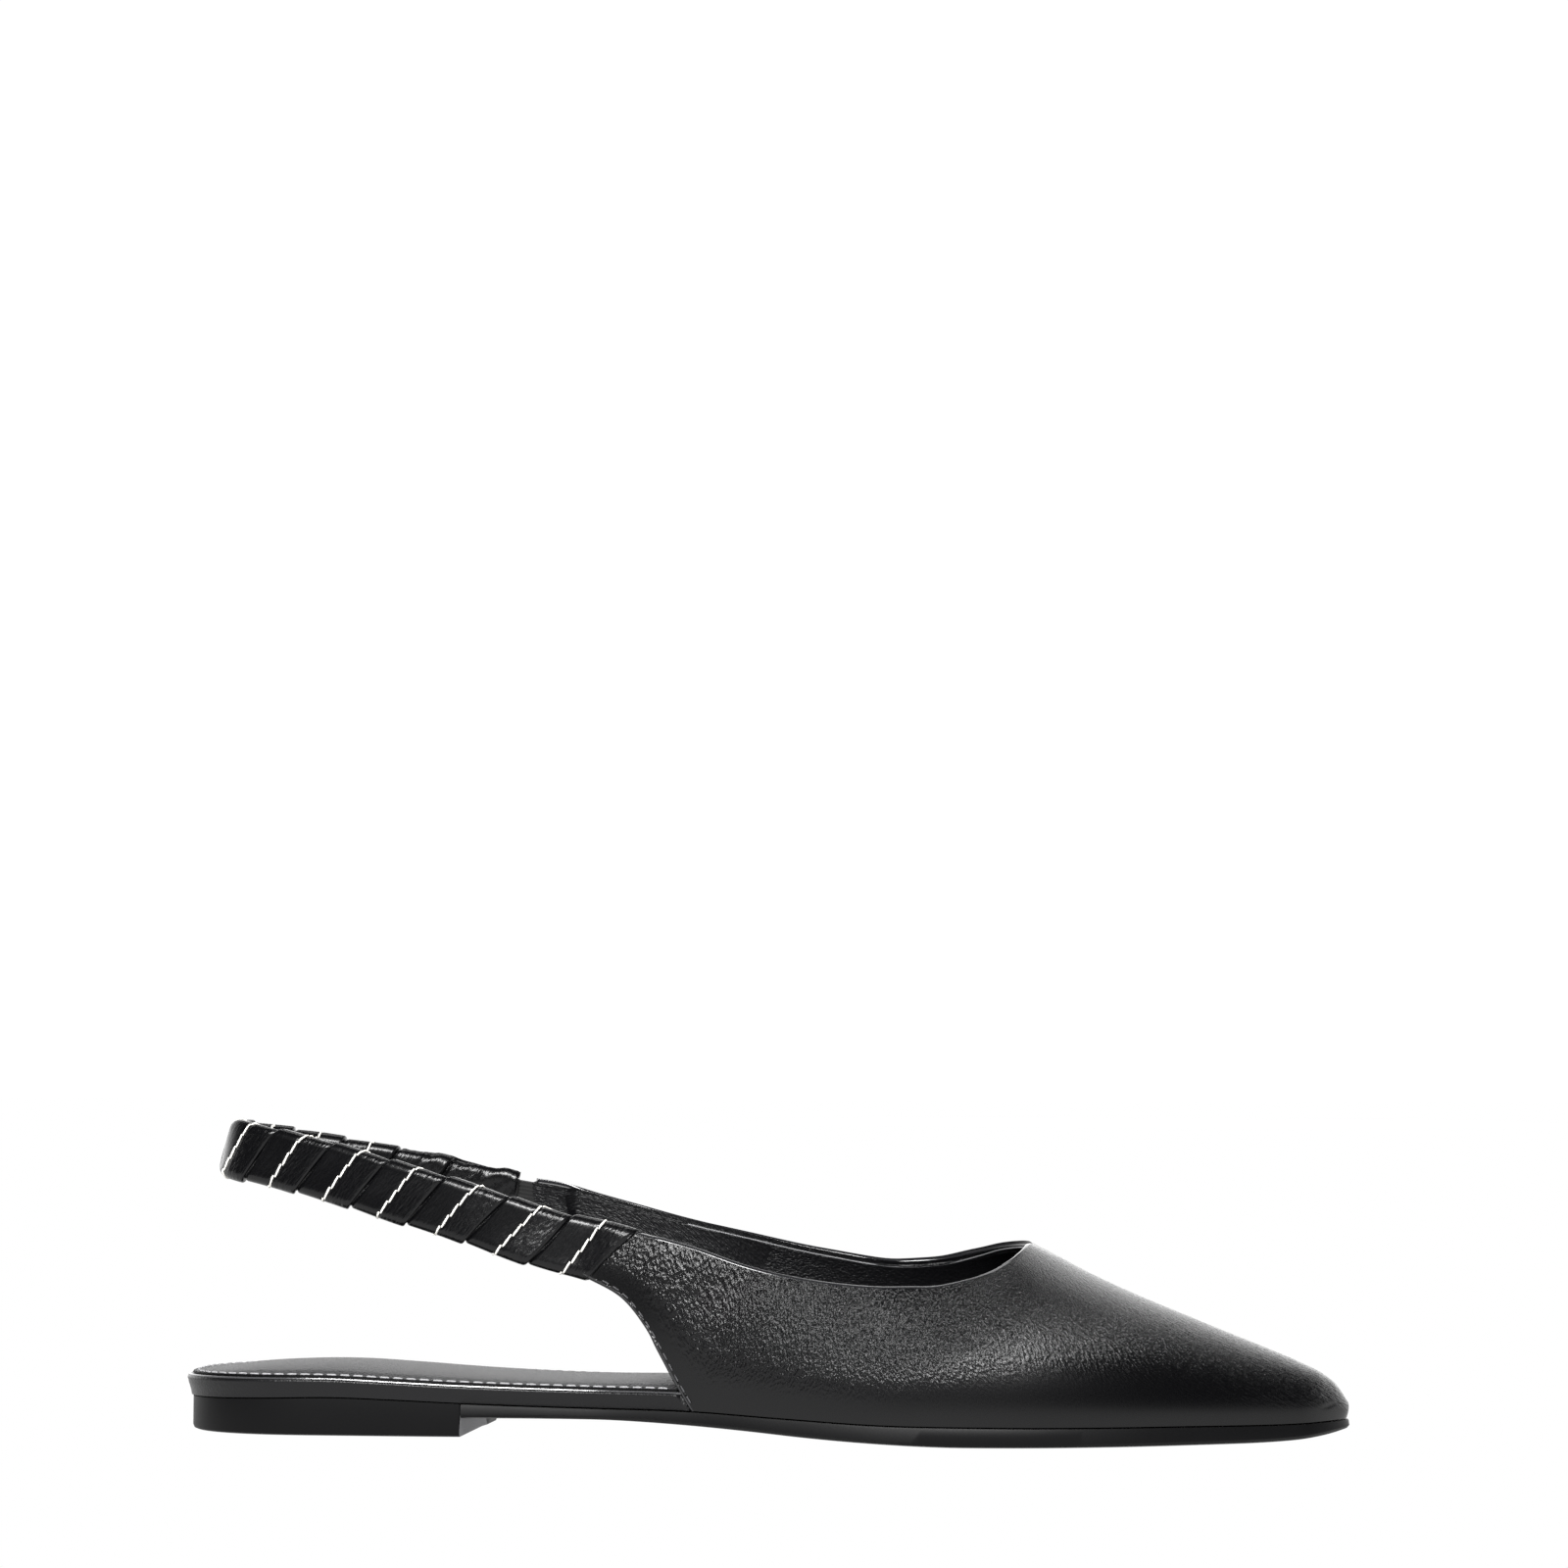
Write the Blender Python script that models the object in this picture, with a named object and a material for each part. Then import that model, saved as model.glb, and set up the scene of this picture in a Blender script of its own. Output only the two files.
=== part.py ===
"""Slingback ballet flat with a pointed toe, right shoe, standing empty on its sole.

Run with: blender --background --python part.py

Frame: metres, +Z up, +X from heel to toe, +Y to the medial (inner) side of the foot.
The origin is on the floor, under the middle of the heel block's flat bottom.

Pieces, from the floor up: a moulded outsole with its low heel block, a leather-covered footbed whose edge
shows behind the quarters, a padded sock on top of it, a hollow upper open at the throat, the back and
underneath, an elastic sling core, and a leather tape wound round that core in a helix.
"""

import math

import bmesh
import bpy
import numpy as np

MM = 0.001

# Driving sizes
SOLE_LENGTH = 266.0 * MM
BALL_WIDTH = 80.0 * MM
HEEL_WIDTH = 55.0 * MM
HEEL_BLOCK_LENGTH = 67.5 * MM
HEEL_BLOCK_HEIGHT = 8.0 * MM
WAIST_CLEARANCE = 4.3 * MM
TOE_SPRING = 2.2 * MM
SOLE_EDGE_HEIGHT = 4.0 * MM
FOOTBED_THICKNESS = 4.0 * MM
SOCK_THICKNESS = 0.9 * MM
SOCK_CROWN = 1.6 * MM
UPPER_WALL = 1.6 * MM
THROAT_HEIGHT = 43.6 * MM
TOPLINE_HEIGHT = 36.0 * MM
SLING_HEIGHT = 64.0 * MM
SLING_LOOP_WIDTH = 54.0 * MM
CORE_WIDTH = 10.4 * MM
CORE_THICKNESS = 1.6 * MM
TAPE_PITCH = 14.4 * MM
TAPE_THICKNESS = 0.9 * MM
TAPE_STEP = 0.7 * MM

# Clearances and small radii
SEAT_GAP = 0.3 * MM
BORE_GAP = 0.35 * MM
HEEL_BLOCK_INSET = 1.4 * MM
SOLE_TOP_INSET = 0.4 * MM
SOLE_BEVEL = 1.8 * MM
EDGE_ROUND = 0.9 * MM
SOCK_INSET = 1.3 * MM
BREAST_STEP = 0.4 * MM
RAND_STEP = 0.6 * MM
UPPER_INSET = 0.7 * MM
SOLE_SIDE_INSET = 0.1 * MM
SOLE_ROUND_SHARE = 0.35
RAND_ROLL = 0.6 * MM
RAND_TUCK = 1.0 * MM
RAND_MID_TUCK = 0.5 * MM
FOOTBED_FIT = 0.5 * MM
FOOTBED_LEAN = 1.5 * MM
SOCK_ROUND = 0.5 * MM
SHARED_FROM = 0.9999
CROWN_POWER = 3.0

# The origin lies under the middle of the heel block
ORIGIN_FROM_BACK = 0.5 * HEEL_BLOCK_LENGTH

# Mesh density
OUTLINE_ROWS = 50
ROWS_BEHIND_CORNER = 9
ROWS_TO_THROAT = 14
ROWS_IN_THROAT = 10
ROWS_TO_TOE = 14
COLUMNS_PER_SIDE = 9
CORE_ROWS = 80
CORE_SIDES = 8
TAPE_SIDES = 16
SLING_SAMPLES = 600

# Sole outline: share of the length, then lateral and medial reach as shares of the width named last
HEEL, BALL = HEEL_WIDTH, BALL_WIDTH
OUTLINE = (
    # along, lateral, medial, of
    (0.00, 0.505, 0.495, HEEL),
    (0.125, 0.505, 0.495, HEEL),
    (0.20, 0.505, 0.480, HEEL),
    (0.28, 0.495, 0.430, HEEL),
    (0.36, 0.500, 0.375, HEEL),
    (0.44, 0.385, 0.260, BALL),
    (0.52, 0.450, 0.325, BALL),
    (0.60, 0.500, 0.410, BALL),
    (0.67, 0.512, 0.462, BALL),
    (0.74, 0.490, 0.450, BALL),
    (0.81, 0.420, 0.375, BALL),
    (0.88, 0.310, 0.275, BALL),
    (0.94, 0.200, 0.185, BALL),
    (1.00, 0.085, 0.100, BALL),
)
HEEL_ROUND_SHARE = 0.125
HEEL_ROUND_POWER = 2.3
TOE_ROUND_SHARE = 0.040
TOE_TIP_SIDE = 0.012

# Heights along the length: underside of the sole (shares of the waist clearance and of the toe spring),
# and the sole's upper face (share of the heel block's height and of the sole's edge height)
SOLE_PROFILE = (
    # along, waist, spring
    (0.25, 0.98, 0.00),
    (0.32, 1.00, 0.00),
    (0.37, 0.99, 0.00),
    (0.41, 0.92, 0.00),
    (0.45, 0.80, 0.00),
    (0.50, 0.60, 0.00),
    (0.55, 0.35, 0.00),
    (0.60, 0.16, 0.00),
    (0.65, 0.03, 0.00),
    (0.68, 0.00, 0.00),
    (0.89, 0.00, 0.00),
    (0.95, 0.00, 0.14),
    (0.978, 0.00, 0.50),
    (1.00, 0.00, 1.00),
)
SOLE_TOP = (
    # along, heel block share, edge share
    (0.00, 0.925, 0.00),
    (0.085, 1.01, 0.00),
    (0.14, 1.05, 0.00),
    (0.195, 1.00, 0.00),
    (0.255, 0.92, 0.00),
    (0.365, 0.835, 0.00),
    (0.45, 0.81, 0.00),
    (0.53, 0.00, 1.37),
    (0.615, 0.00, 1.12),
    (0.70, 0.00, 1.07),
    (0.855, 0.00, 1.01),
    (0.94, 0.00, 0.945),
    (1.00, 0.00, 1.05),
)

# The last: height of the instep ridge, its side offset, how hollow the flanks are, and the swell of each wall
LAST = (
    # along, ridge, side, hollow, lateral swell, medial swell
    (0.25, 1.95, 0.000, 0.00, 0.075, 0.085),
    (0.34, 1.84, -0.005, 0.00, 0.075, 0.095),
    (0.44, 1.67, -0.010, 0.02, 0.055, 0.085),
    (0.53, 1.48, -0.015, 0.06, 0.035, 0.055),
    (0.61, 1.31, -0.015, 0.10, 0.025, 0.035),
    (0.68, 1.145, -0.012, 0.10, 0.022, 0.025),
    (0.731, 1.000, -0.010, 0.08, 0.020, 0.020),
    (0.776, 0.853, -0.005, 0.04, 0.020, 0.020),
    (0.823, 0.722, 0.000, -0.01, 0.018, 0.018),
    (0.859, 0.633, 0.003, -0.04, 0.018, 0.018),
    (0.897, 0.539, 0.007, -0.08, 0.015, 0.015),
    (0.934, 0.450, 0.009, -0.11, 0.013, 0.013),
    (0.961, 0.381, 0.011, -0.13, 0.011, 0.011),
    (0.979, 0.317, 0.012, -0.14, 0.008, 0.008),
    (0.992, 0.237, 0.012, -0.14, 0.004, 0.004),
    (1.00, 0.160, 0.012, -0.14, 0.000, 0.000),
)

# Topline and back edge of each quarter: share of the length, height above the floor as a share of the
# topline height, and how far the edge is drawn up to the throat's height
LATERAL_TOPLINE = (
    # along, height, pull
    (0.40, 1.295, 0.00),
    (0.447, 1.208, 0.00),
    (0.497, 1.091, 0.00),
    (0.53, 1.036, 0.00),
    (0.572, 0.991, 0.00),
    (0.612, 0.974, 0.00),
    (0.645, 0.978, 0.00),
    (0.675, 0.978, 0.12),
    (0.693, 0.978, 0.27),
    (0.712, 0.978, 0.53),
    (0.724, 0.978, 0.77),
    (0.729, 0.978, 0.91),
    (0.731, 0.978, 1.00),
)
MEDIAL_TOPLINE = (
    # along, height, pull
    (0.28, 1.605, 0.00),
    (0.315, 1.566, 0.00),
    (0.344, 1.505, 0.00),
    (0.414, 1.367, 0.00),
    (0.475, 1.263, 0.00),
    (0.544, 1.155, 0.00),
    (0.610, 1.092, 0.00),
    (0.648, 1.092, 0.17),
    (0.683, 1.092, 0.60),
    (0.701, 1.092, 0.83),
    (0.718, 1.092, 0.95),
    (0.731, 1.092, 1.00),
)
LATERAL_BACK_EDGE = (
    # along, height
    (0.366, 0.980),
    (0.391, 0.866),
    (0.409, 0.706),
    (0.424, 0.515),
    (0.435, 0.366),
    (0.4455, 0.235),
    (0.450, 0.180),
)
MEDIAL_BACK_EDGE = (
    # along, height
    (0.293, 1.270),
    (0.335, 1.170),
    (0.372, 1.010),
    (0.398, 0.800),
    (0.420, 0.560),
    (0.4355, 0.360),
    (0.4455, 0.235),
    (0.450, 0.180),
)
TAB_TOP = {"lateral": 0.404, "medial": 0.285}
CORNER_TOP = 0.500
THROAT_SHARE = 0.731
THROAT_START = 0.620
THROAT_BOTTOM = 0.760

# The rand ends under the quarter's back edge; the footbed thins towards the toe
RAND_END_LOW = 0.442
RAND_END_HIGH = 0.433
FOOTBED_PROFILE = (
    # along, thickness
    (0.00, 1.16),
    (0.08, 1.08),
    (0.14, 1.00),
    (0.25, 0.93),
    (0.44, 0.93),
    (0.60, 0.65),
    (1.00, 0.55),
)

# The sock's padding rises from the heel's edge and is fullest at the waist
SOCK_PROFILE = (
    # along, crown
    (0.005, 0.00),
    (0.03, 0.35),
    (0.08, 0.80),
    (0.13, 1.00),
    (0.25, 1.15),
    (0.44, 1.55),
    (0.62, 1.20),
    (0.90, 0.60),
    (0.975, 0.00),
)

# Centreline of the sling between the two quarter tabs: share of the length, share of the loop's width,
# share of the sling's height
SLING_ROUTE = (
    # along, side, height
    (0.330, -0.482, 0.688),
    (0.270, -0.450, 0.764),
    (0.210, -0.400, 0.833),
    (0.160, -0.338, 0.890),
    (0.110, -0.265, 0.941),
    (0.066, -0.190, 0.977),
    (0.045, -0.125, 0.992),
    (0.035, 0.000, 1.000),
    (0.045, 0.125, 0.990),
    (0.066, 0.190, 0.974),
    (0.110, 0.265, 0.939),
    (0.160, 0.330, 0.900),
    (0.210, 0.380, 0.860),
    (0.250, 0.405, 0.830),
)

SLING_SLOPE = {"lateral": math.radians(14.5), "medial": math.radians(11.0)}
SLING_LEAN = math.radians(14.5)
SLING_TURN_SHARE = 0.3
SLING_TANGENT_STEP = 2.0 * MM
CORE_OVERLAP = 12.0 * MM

# The wrap starts behind the lateral tab's end and stops behind the medial one's
WRAP_START = -1.5 * MM
WRAP_END = -5.6 * MM
END_SLANT = 2.0 * MM
END_SLANT_TURNS = 2.0

# One turn of the tape: share of the pitch, and how far its outer face rises there
TAPE_TURN = (
    # share, rise
    (0.02, 0.00),
    (0.26, 0.25),
    (0.50, 0.50),
    (0.74, 0.78),
    (0.97, 1.00),
)

SIDES = {"lateral": -1.0, "medial": 1.0}


def clear_scene():
    """Removes everything that the start-up file holds."""
    for obj in list(bpy.data.objects):
        bpy.data.objects.remove(obj, do_unlink=True)


def smooth_table(rows, at, column):
    """Monotone cubic through a table's column: no overshoot, and flat stretches stay flat."""
    xs = np.array([row[0] for row in rows], float)
    ys = np.array([row[column] for row in rows], float)
    steps = np.diff(xs)
    rises = np.diff(ys) / steps
    slopes = np.zeros(len(xs))
    slopes[0], slopes[-1] = rises[0], rises[-1]
    for i in range(1, len(xs) - 1):
        if rises[i - 1] * rises[i] > 0:
            blend = (steps[i] * rises[i - 1] + steps[i - 1] * rises[i]) / (steps[i - 1] + steps[i])
            limit = 3 * min(abs(rises[i - 1]), abs(rises[i]))
            slopes[i] = math.copysign(min(abs(blend), limit), blend)
    where = min(max(at, xs[0]), xs[-1])
    i = min(int(np.searchsorted(xs, where, side="right")) - 1, len(xs) - 2)
    t = (where - xs[i]) / steps[i]
    hermite = (
        (1 + 2 * t) * (1 - t) ** 2 * ys[i]
        + t * (1 - t) ** 2 * steps[i] * slopes[i]
        + t * t * (3 - 2 * t) * ys[i + 1]
        + t * t * (t - 1) * steps[i] * slopes[i + 1]
    )
    return float(hermite)


def to_frame(from_back):
    """Distance from the back of the sole, turned to X in the part's frame."""
    return from_back - ORIGIN_FROM_BACK


OUTLINE_REACH = tuple((along, lateral * of, medial * of) for along, lateral, medial, of in OUTLINE)


def toe_factor(along):
    """One behind the round toe tip, falling to nothing at the tip as a circle does."""
    start = 1 - TOE_ROUND_SHARE
    if along <= start:
        return 1.0
    return math.sqrt(max(0.0, 1 - ((along - start) / TOE_ROUND_SHARE) ** 2))


def plain_reach(along, side):
    """Half width of the sole's outline on one side, before its ends are rounded."""
    return smooth_table(OUTLINE_REACH, along, 1 if side == "lateral" else 2)


def reach(along, side):
    """Half width of the sole's outline on one side, with the round heel and the round toe tip."""
    width = plain_reach(along, side)
    if along < HEEL_ROUND_SHARE:
        width *= max(0.0, 1 - (1 - along / HEEL_ROUND_SHARE) ** HEEL_ROUND_POWER) ** (1 / HEEL_ROUND_POWER)
    tip = TOE_TIP_SIDE * BALL_WIDTH * SIDES[side]
    return tip + (width - tip) * toe_factor(along)


def outline_point(along, side, inset):
    """Point of the outline moved inwards along its normal, as distance from the back and Y.

    At the round toe tip the move turns from sideways to backwards, so that a deep inset never folds.
    """
    small = 0.0004
    sign = SIDES[side]
    curve = reach if along < 0.5 else plain_reach
    here, ahead = max(0.0, along - small), min(1.0, along + small)
    slope = (curve(ahead, side) - curve(here, side)) / ((ahead - here) * SOLE_LENGTH)
    size = math.hypot(1.0, slope)
    forward, sideways = -slope / size, 1 / size
    if along <= small:
        forward, sideways = -1.0, 0.0
    tip = max(0.0, 1 - (1 - along) / TOE_ROUND_SHARE)
    x = along * SOLE_LENGTH - inset * (forward + (1 - forward) * tip)
    return x, sign * (reach(along, side) - inset * sideways * toe_factor(along))


def sole_bottom(from_back):
    """Height of the underside: the heel block stands on the floor, the waist arches, the toe springs."""
    along = from_back / SOLE_LENGTH
    if from_back < HEEL_BLOCK_LENGTH:
        return 0.0
    waist = WAIST_CLEARANCE * smooth_table(SOLE_PROFILE, along, 1)
    return waist + TOE_SPRING * smooth_table(SOLE_PROFILE, along, 2)


SOLE_TOP_HEIGHT = tuple(
    (along, heel * HEEL_BLOCK_HEIGHT + edge * SOLE_EDGE_HEIGHT) for along, heel, edge in SOLE_TOP
)


def sole_top(from_back):
    """Height of the outsole's upper face, on which footbed and upper are cemented."""
    return smooth_table(SOLE_TOP_HEIGHT, from_back / SOLE_LENGTH, 1)


def outline_stations(steps):
    """Shares of the length, close together at both ends, with a pair of rows at each step across the sole."""
    shares = [(1 - math.cos(math.pi * i / OUTLINE_ROWS)) / 2 for i in range(OUTLINE_ROWS + 1)]
    for place, width in steps:
        shares = [s for s in shares if abs(s * SOLE_LENGTH - place) > 2 * width]
        shares += [(place - width / 2) / SOLE_LENGTH, (place + width / 2) / SOLE_LENGTH]
    return sorted(shares)


def add_object(name, mesh_data, colour, roughness, parent=None):
    """Turns a bmesh into a named object with its own material, faces pointing out."""
    bmesh.ops.remove_doubles(mesh_data, verts=mesh_data.verts, dist=0.00001)
    bmesh.ops.dissolve_degenerate(mesh_data, edges=mesh_data.edges, dist=0.00001)
    bmesh.ops.recalc_face_normals(mesh_data, faces=mesh_data.faces)
    if mesh_data.calc_volume(signed=True) < 0:
        bmesh.ops.reverse_faces(mesh_data, faces=mesh_data.faces)
    mesh = bpy.data.meshes.new(name)
    mesh_data.to_mesh(mesh)
    mesh_data.free()
    obj = bpy.data.objects.new(name, mesh)
    bpy.context.scene.collection.objects.link(obj)
    obj.data.materials.append(make_material(name, colour, roughness))
    obj.data.shade_smooth()
    obj.data.set_sharp_from_angle(angle=math.radians(35))
    obj.parent = parent
    return obj


def make_material(name, colour, roughness):
    """Principled material with the piece's colour and roughness; nothing here is metal."""
    material = bpy.data.materials.new(name)
    material.use_nodes = True
    shader = material.node_tree.nodes["Principled BSDF"]
    shader.inputs["Base Color"].default_value = (*colour, 1.0)
    shader.inputs["Roughness"].default_value = roughness
    shader.inputs["Metallic"].default_value = 0.0
    return material


def add_grid(mesh_data, rows):
    """Quads between neighbouring rows of points; every row has the same number of points."""
    verts = [[mesh_data.verts.new(point) for point in row] for row in rows]
    for low, high in zip(verts, verts[1:]):
        for i in range(len(low) - 1):
            mesh_data.faces.new((low[i], low[i + 1], high[i + 1], high[i]))
    return verts


def ladder_face(mesh_data, lateral, medial, height, crown, cross):
    """Upper or lower face of a sole-like piece: rungs from the lateral to the medial edge."""
    rows = []
    for left, right in zip(lateral, medial):
        swell = crown * smooth_table(SOCK_PROFILE, left[0] / SOLE_LENGTH, 1)
        row = []
        for k in range(cross + 1):
            share = k / cross
            x = left[0] + (right[0] - left[0]) * share
            y = left[1] + (right[1] - left[1]) * share
            row.append((to_frame(x), y, height(x) + swell * (1 - abs(2 * share - 1) ** CROWN_POWER)))
        rows.append(row)
    add_grid(mesh_data, rows)


def layered_solid(layers, steps, crown=0.0, cross=2):
    """Closed solid from the sole's outline: each layer is (inset of x, height of x), from bottom to top."""
    mesh_data = bmesh.new()
    shares = outline_stations(steps)
    loops = []
    for inset, height in layers:
        loop = {}
        for side in SIDES:
            loop[side] = [outline_point(share, side, inset(share * SOLE_LENGTH)) for share in shares]
        loops.append((loop, height))
    for side in SIDES:
        add_grid(mesh_data, [[(to_frame(x), y, height(x)) for x, y in loop[side]] for loop, height in loops])
    bottom, bottom_height = loops[0]
    top, top_height = loops[-1]
    ladder_face(mesh_data, bottom["lateral"], bottom["medial"], bottom_height, 0.0, 2)
    ladder_face(mesh_data, top["lateral"], top["medial"], top_height, crown, cross)
    return mesh_data


def behind(place, back, front):
    """Function of the distance from the back: one value behind a place, another in front of it."""
    return lambda x: back if x < place else front


def build_outsole(parent):
    """Moulded sole with its heel block; the breast stands where the block ends."""
    block = HEEL_BLOCK_LENGTH

    def low_inset(x):
        return HEEL_BLOCK_INSET + EDGE_ROUND if x < block else SOLE_BEVEL

    def side_inset(x):
        return HEEL_BLOCK_INSET if x < block else SOLE_SIDE_INSET

    layers = [
        (low_inset, sole_bottom),
        (side_inset, lambda x: sole_bottom(x) + min(EDGE_ROUND, SOLE_ROUND_SHARE * (sole_top(x) - sole_bottom(x)))),
        (behind(block, HEEL_BLOCK_INSET, SOLE_TOP_INSET), sole_top),
    ]
    solid = layered_solid(layers, [(block, BREAST_STEP)])
    return add_object("outsole", solid, (0.012, 0.012, 0.013), 0.5, parent)


def footbed_top(x):
    """Height of the footbed's upper face."""
    thickness = FOOTBED_THICKNESS * smooth_table(FOOTBED_PROFILE, x / SOLE_LENGTH, 1)
    return sole_top(x) + SEAT_GAP + thickness


def build_footbed(parent):
    """Covered board: full outline behind the quarters, set in by the upper's wall in front of them."""
    low_corner = RAND_END_LOW * SOLE_LENGTH
    high_corner = RAND_END_HIGH * SOLE_LENGTH
    inner = UPPER_INSET + UPPER_WALL + SEAT_GAP
    roll = RAND_ROLL

    def between(x, share):
        low, high = sole_top(x) + SEAT_GAP, footbed_top(x)
        return low + (high - low) * share

    layers = [
        (behind(low_corner, RAND_TUCK, inner + FOOTBED_FIT), lambda x: between(x, 0.0)),
        (behind(low_corner, RAND_MID_TUCK, inner + FOOTBED_FIT), lambda x: between(x, 0.45)),
        (behind(high_corner, 0.0, inner + FOOTBED_LEAN), lambda x: between(x, 0.84)),
        (behind(high_corner, roll, inner + FOOTBED_LEAN + roll), lambda x: between(x, 1.0)),
    ]
    solid = layered_solid(layers, [(low_corner, RAND_STEP), (high_corner, RAND_STEP)])
    return add_object("footbed", solid, (0.03, 0.03, 0.031), 0.55, parent)


def build_sock(parent):
    """Padded sock: thin at its stitched edge, crowned in the middle, kept inside the upper in front."""
    corner = RAND_END_HIGH * SOLE_LENGTH
    front = UPPER_INSET + UPPER_WALL + SEAT_GAP + FOOTBED_LEAN + SOCK_INSET
    seat = lambda x: footbed_top(x) + SEAT_GAP
    layers = [
        (behind(corner, SOCK_INSET, front), seat),
        (behind(corner, SOCK_INSET, front), lambda x: seat(x) + 0.6 * SOCK_THICKNESS),
        (behind(corner, SOCK_INSET + SOCK_ROUND, front + SOCK_ROUND), lambda x: seat(x) + SOCK_THICKNESS),
    ]
    solid = layered_solid(layers, [(corner, RAND_STEP)], crown=SOCK_CROWN, cross=6)
    return add_object("insole_sock", solid, (0.05, 0.05, 0.052), 0.6, parent)


def last_point(along, side, share):
    """Point of the upper's outer face: share 0 at the feather line, 1 at the instep ridge."""
    sign = SIDES[side]
    side_column = 4 if side == "lateral" else 5
    x, feather_y = outline_point(along, side, UPPER_INSET)
    feather_z = sole_top(x) + SEAT_GAP
    ridge_y = BALL_WIDTH * smooth_table(LAST, along, 2)
    ridge_z = THROAT_HEIGHT * smooth_table(LAST, along, 1)
    power = 1 + smooth_table(LAST, along, 3)
    swell = BALL_WIDTH * smooth_table(LAST, along, side_column)
    angle = 0.5 * math.pi * share
    wide = max(0.0, math.cos(angle)) ** power
    ridge_x = sum(outline_point(along, each, UPPER_INSET)[0] for each in SIDES) / len(SIDES)
    x = ridge_x + (x - ridge_x) * wide
    y = ridge_y + (feather_y - ridge_y) * wide + sign * swell * math.sin(math.pi * share)
    z = feather_z + (ridge_z - feather_z) * math.sin(angle) ** power
    return np.array((to_frame(x), y, z))


def share_at_height(along, side, height):
    """Share of the section's curve at which its height above the floor is reached."""
    feather_z = last_point(along, side, 0.0)[2]
    ridge_z = last_point(along, side, 1.0)[2]
    power = 1 + smooth_table(LAST, along, 3)
    rise = min(max((height - feather_z) / (ridge_z - feather_z), 0.0), 1.0)
    return math.asin(rise ** (1 / power)) * 2 / math.pi


def last_normal(along, side, share):
    """Unit normal of the upper's outer face, pointing out."""
    small = 0.0008
    here, ahead = max(0.0, along - small), min(1.0, along + small)
    low, high = max(0.0, share - small), min(1.0, share + small)
    run = last_point(ahead, side, share) - last_point(here, side, share)
    rise = last_point(along, side, high) - last_point(along, side, low)
    normal = np.cross(run, rise) * -SIDES[side]
    return normal / np.linalg.norm(normal)


def chord_table(points):
    """Rows of (share of the whole chord length, coordinates) through a list of points."""
    points = [np.array(point, float) for point in points]
    spans = [0.0] + [float(np.linalg.norm(b - a)) for a, b in zip(points, points[1:])]
    total = np.cumsum(spans)
    return [(float(at / total[-1]), *point) for at, point in zip(total, points)]


def table_point(table, share):
    """Point of a chord table's curve."""
    return [smooth_table(table, share, column) for column in range(1, len(table[0]))]


def wall_rows(side):
    """Rows from the tab's end to the toe; each is (share along at the bottom, height share there, same on top)."""
    topline = LATERAL_TOPLINE if side == "lateral" else MEDIAL_TOPLINE
    edge = LATERAL_BACK_EDGE if side == "lateral" else MEDIAL_BACK_EDGE
    scaled = [(along * SOLE_LENGTH, height * TOPLINE_HEIGHT) for along, height in edge]
    edge_table = chord_table(scaled)
    corner = edge[-1][0]

    def top(along):
        height = TOPLINE_HEIGHT * smooth_table(topline, along, 1)
        height += (THROAT_HEIGHT - height) * smooth_table(topline, along, 2)
        return along, share_at_height(along, side, height)

    rows = []
    for i in range(ROWS_BEHIND_CORNER):
        part = i / ROWS_BEHIND_CORNER
        place, height = table_point(edge_table, part)
        low = (place / SOLE_LENGTH, share_at_height(place / SOLE_LENGTH, side, height))
        rows.append((low, top(TAB_TOP[side] + (CORNER_TOP - TAB_TOP[side]) * part)))
    straight = ROWS_TO_THROAT - ROWS_IN_THROAT
    for i in range(ROWS_TO_THROAT):
        low = (corner + (THROAT_BOTTOM - corner) * i / ROWS_TO_THROAT, 0.0)
        if i < straight:
            rows.append((low, top(CORNER_TOP + (THROAT_START - CORNER_TOP) * i / straight)))
            continue
        forward = math.sin(0.5 * math.pi * (i - straight) / ROWS_IN_THROAT)
        rows.append((low, top(THROAT_START + (THROAT_SHARE - THROAT_START) * forward)))
    for i in range(ROWS_TO_TOE + 1):
        part = math.sin(0.5 * math.pi * i / ROWS_TO_TOE)
        low = (THROAT_BOTTOM + (1 - THROAT_BOTTOM) * part, 0.0)
        rows.append((low, (THROAT_SHARE + (1 - THROAT_SHARE) * part, 1.0)))
    return rows


def wall_grids(side):
    """Outer and inner points of one side of the upper, row by row from the tab's end to the toe."""
    outer, inner = [], []
    for low, high in wall_rows(side):
        outer_row, inner_row = [], []
        for k in range(COLUMNS_PER_SIDE + 1):
            part = k / COLUMNS_PER_SIDE
            along = low[0] + (high[0] - low[0]) * part
            share = low[1] + (high[1] - low[1]) * part
            point = last_point(along, side, share)
            normal = last_normal(along, side, share)
            if share > SHARED_FROM or along > SHARED_FROM:
                other = "medial" if side == "lateral" else "lateral"
                normal = normal + last_normal(along, other, share)
                normal = normal / np.linalg.norm(normal)
            outer_row.append(point)
            inner_row.append(point - normal * UPPER_WALL)
        outer.append(outer_row)
        inner.append(inner_row)
    return outer, inner


def build_upper(parent):
    """Vamp and quarters as one wall, open along the topline, at the back and underneath."""
    mesh_data = bmesh.new()
    throat_row = ROWS_BEHIND_CORNER + ROWS_TO_THROAT
    for side in SIDES:
        outer, inner = wall_grids(side)
        add_grid(mesh_data, outer)
        add_grid(mesh_data, inner)
        add_grid(mesh_data, [[row[0] for row in outer], [row[0] for row in inner]])
        add_grid(mesh_data, [outer[0], inner[0]])
        lip = slice(0, throat_row + 1)
        add_grid(mesh_data, [[row[-1] for row in outer[lip]], [row[-1] for row in inner[lip]]])
    return add_object("upper", mesh_data, (0.014, 0.014, 0.015), 0.42, parent)


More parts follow.
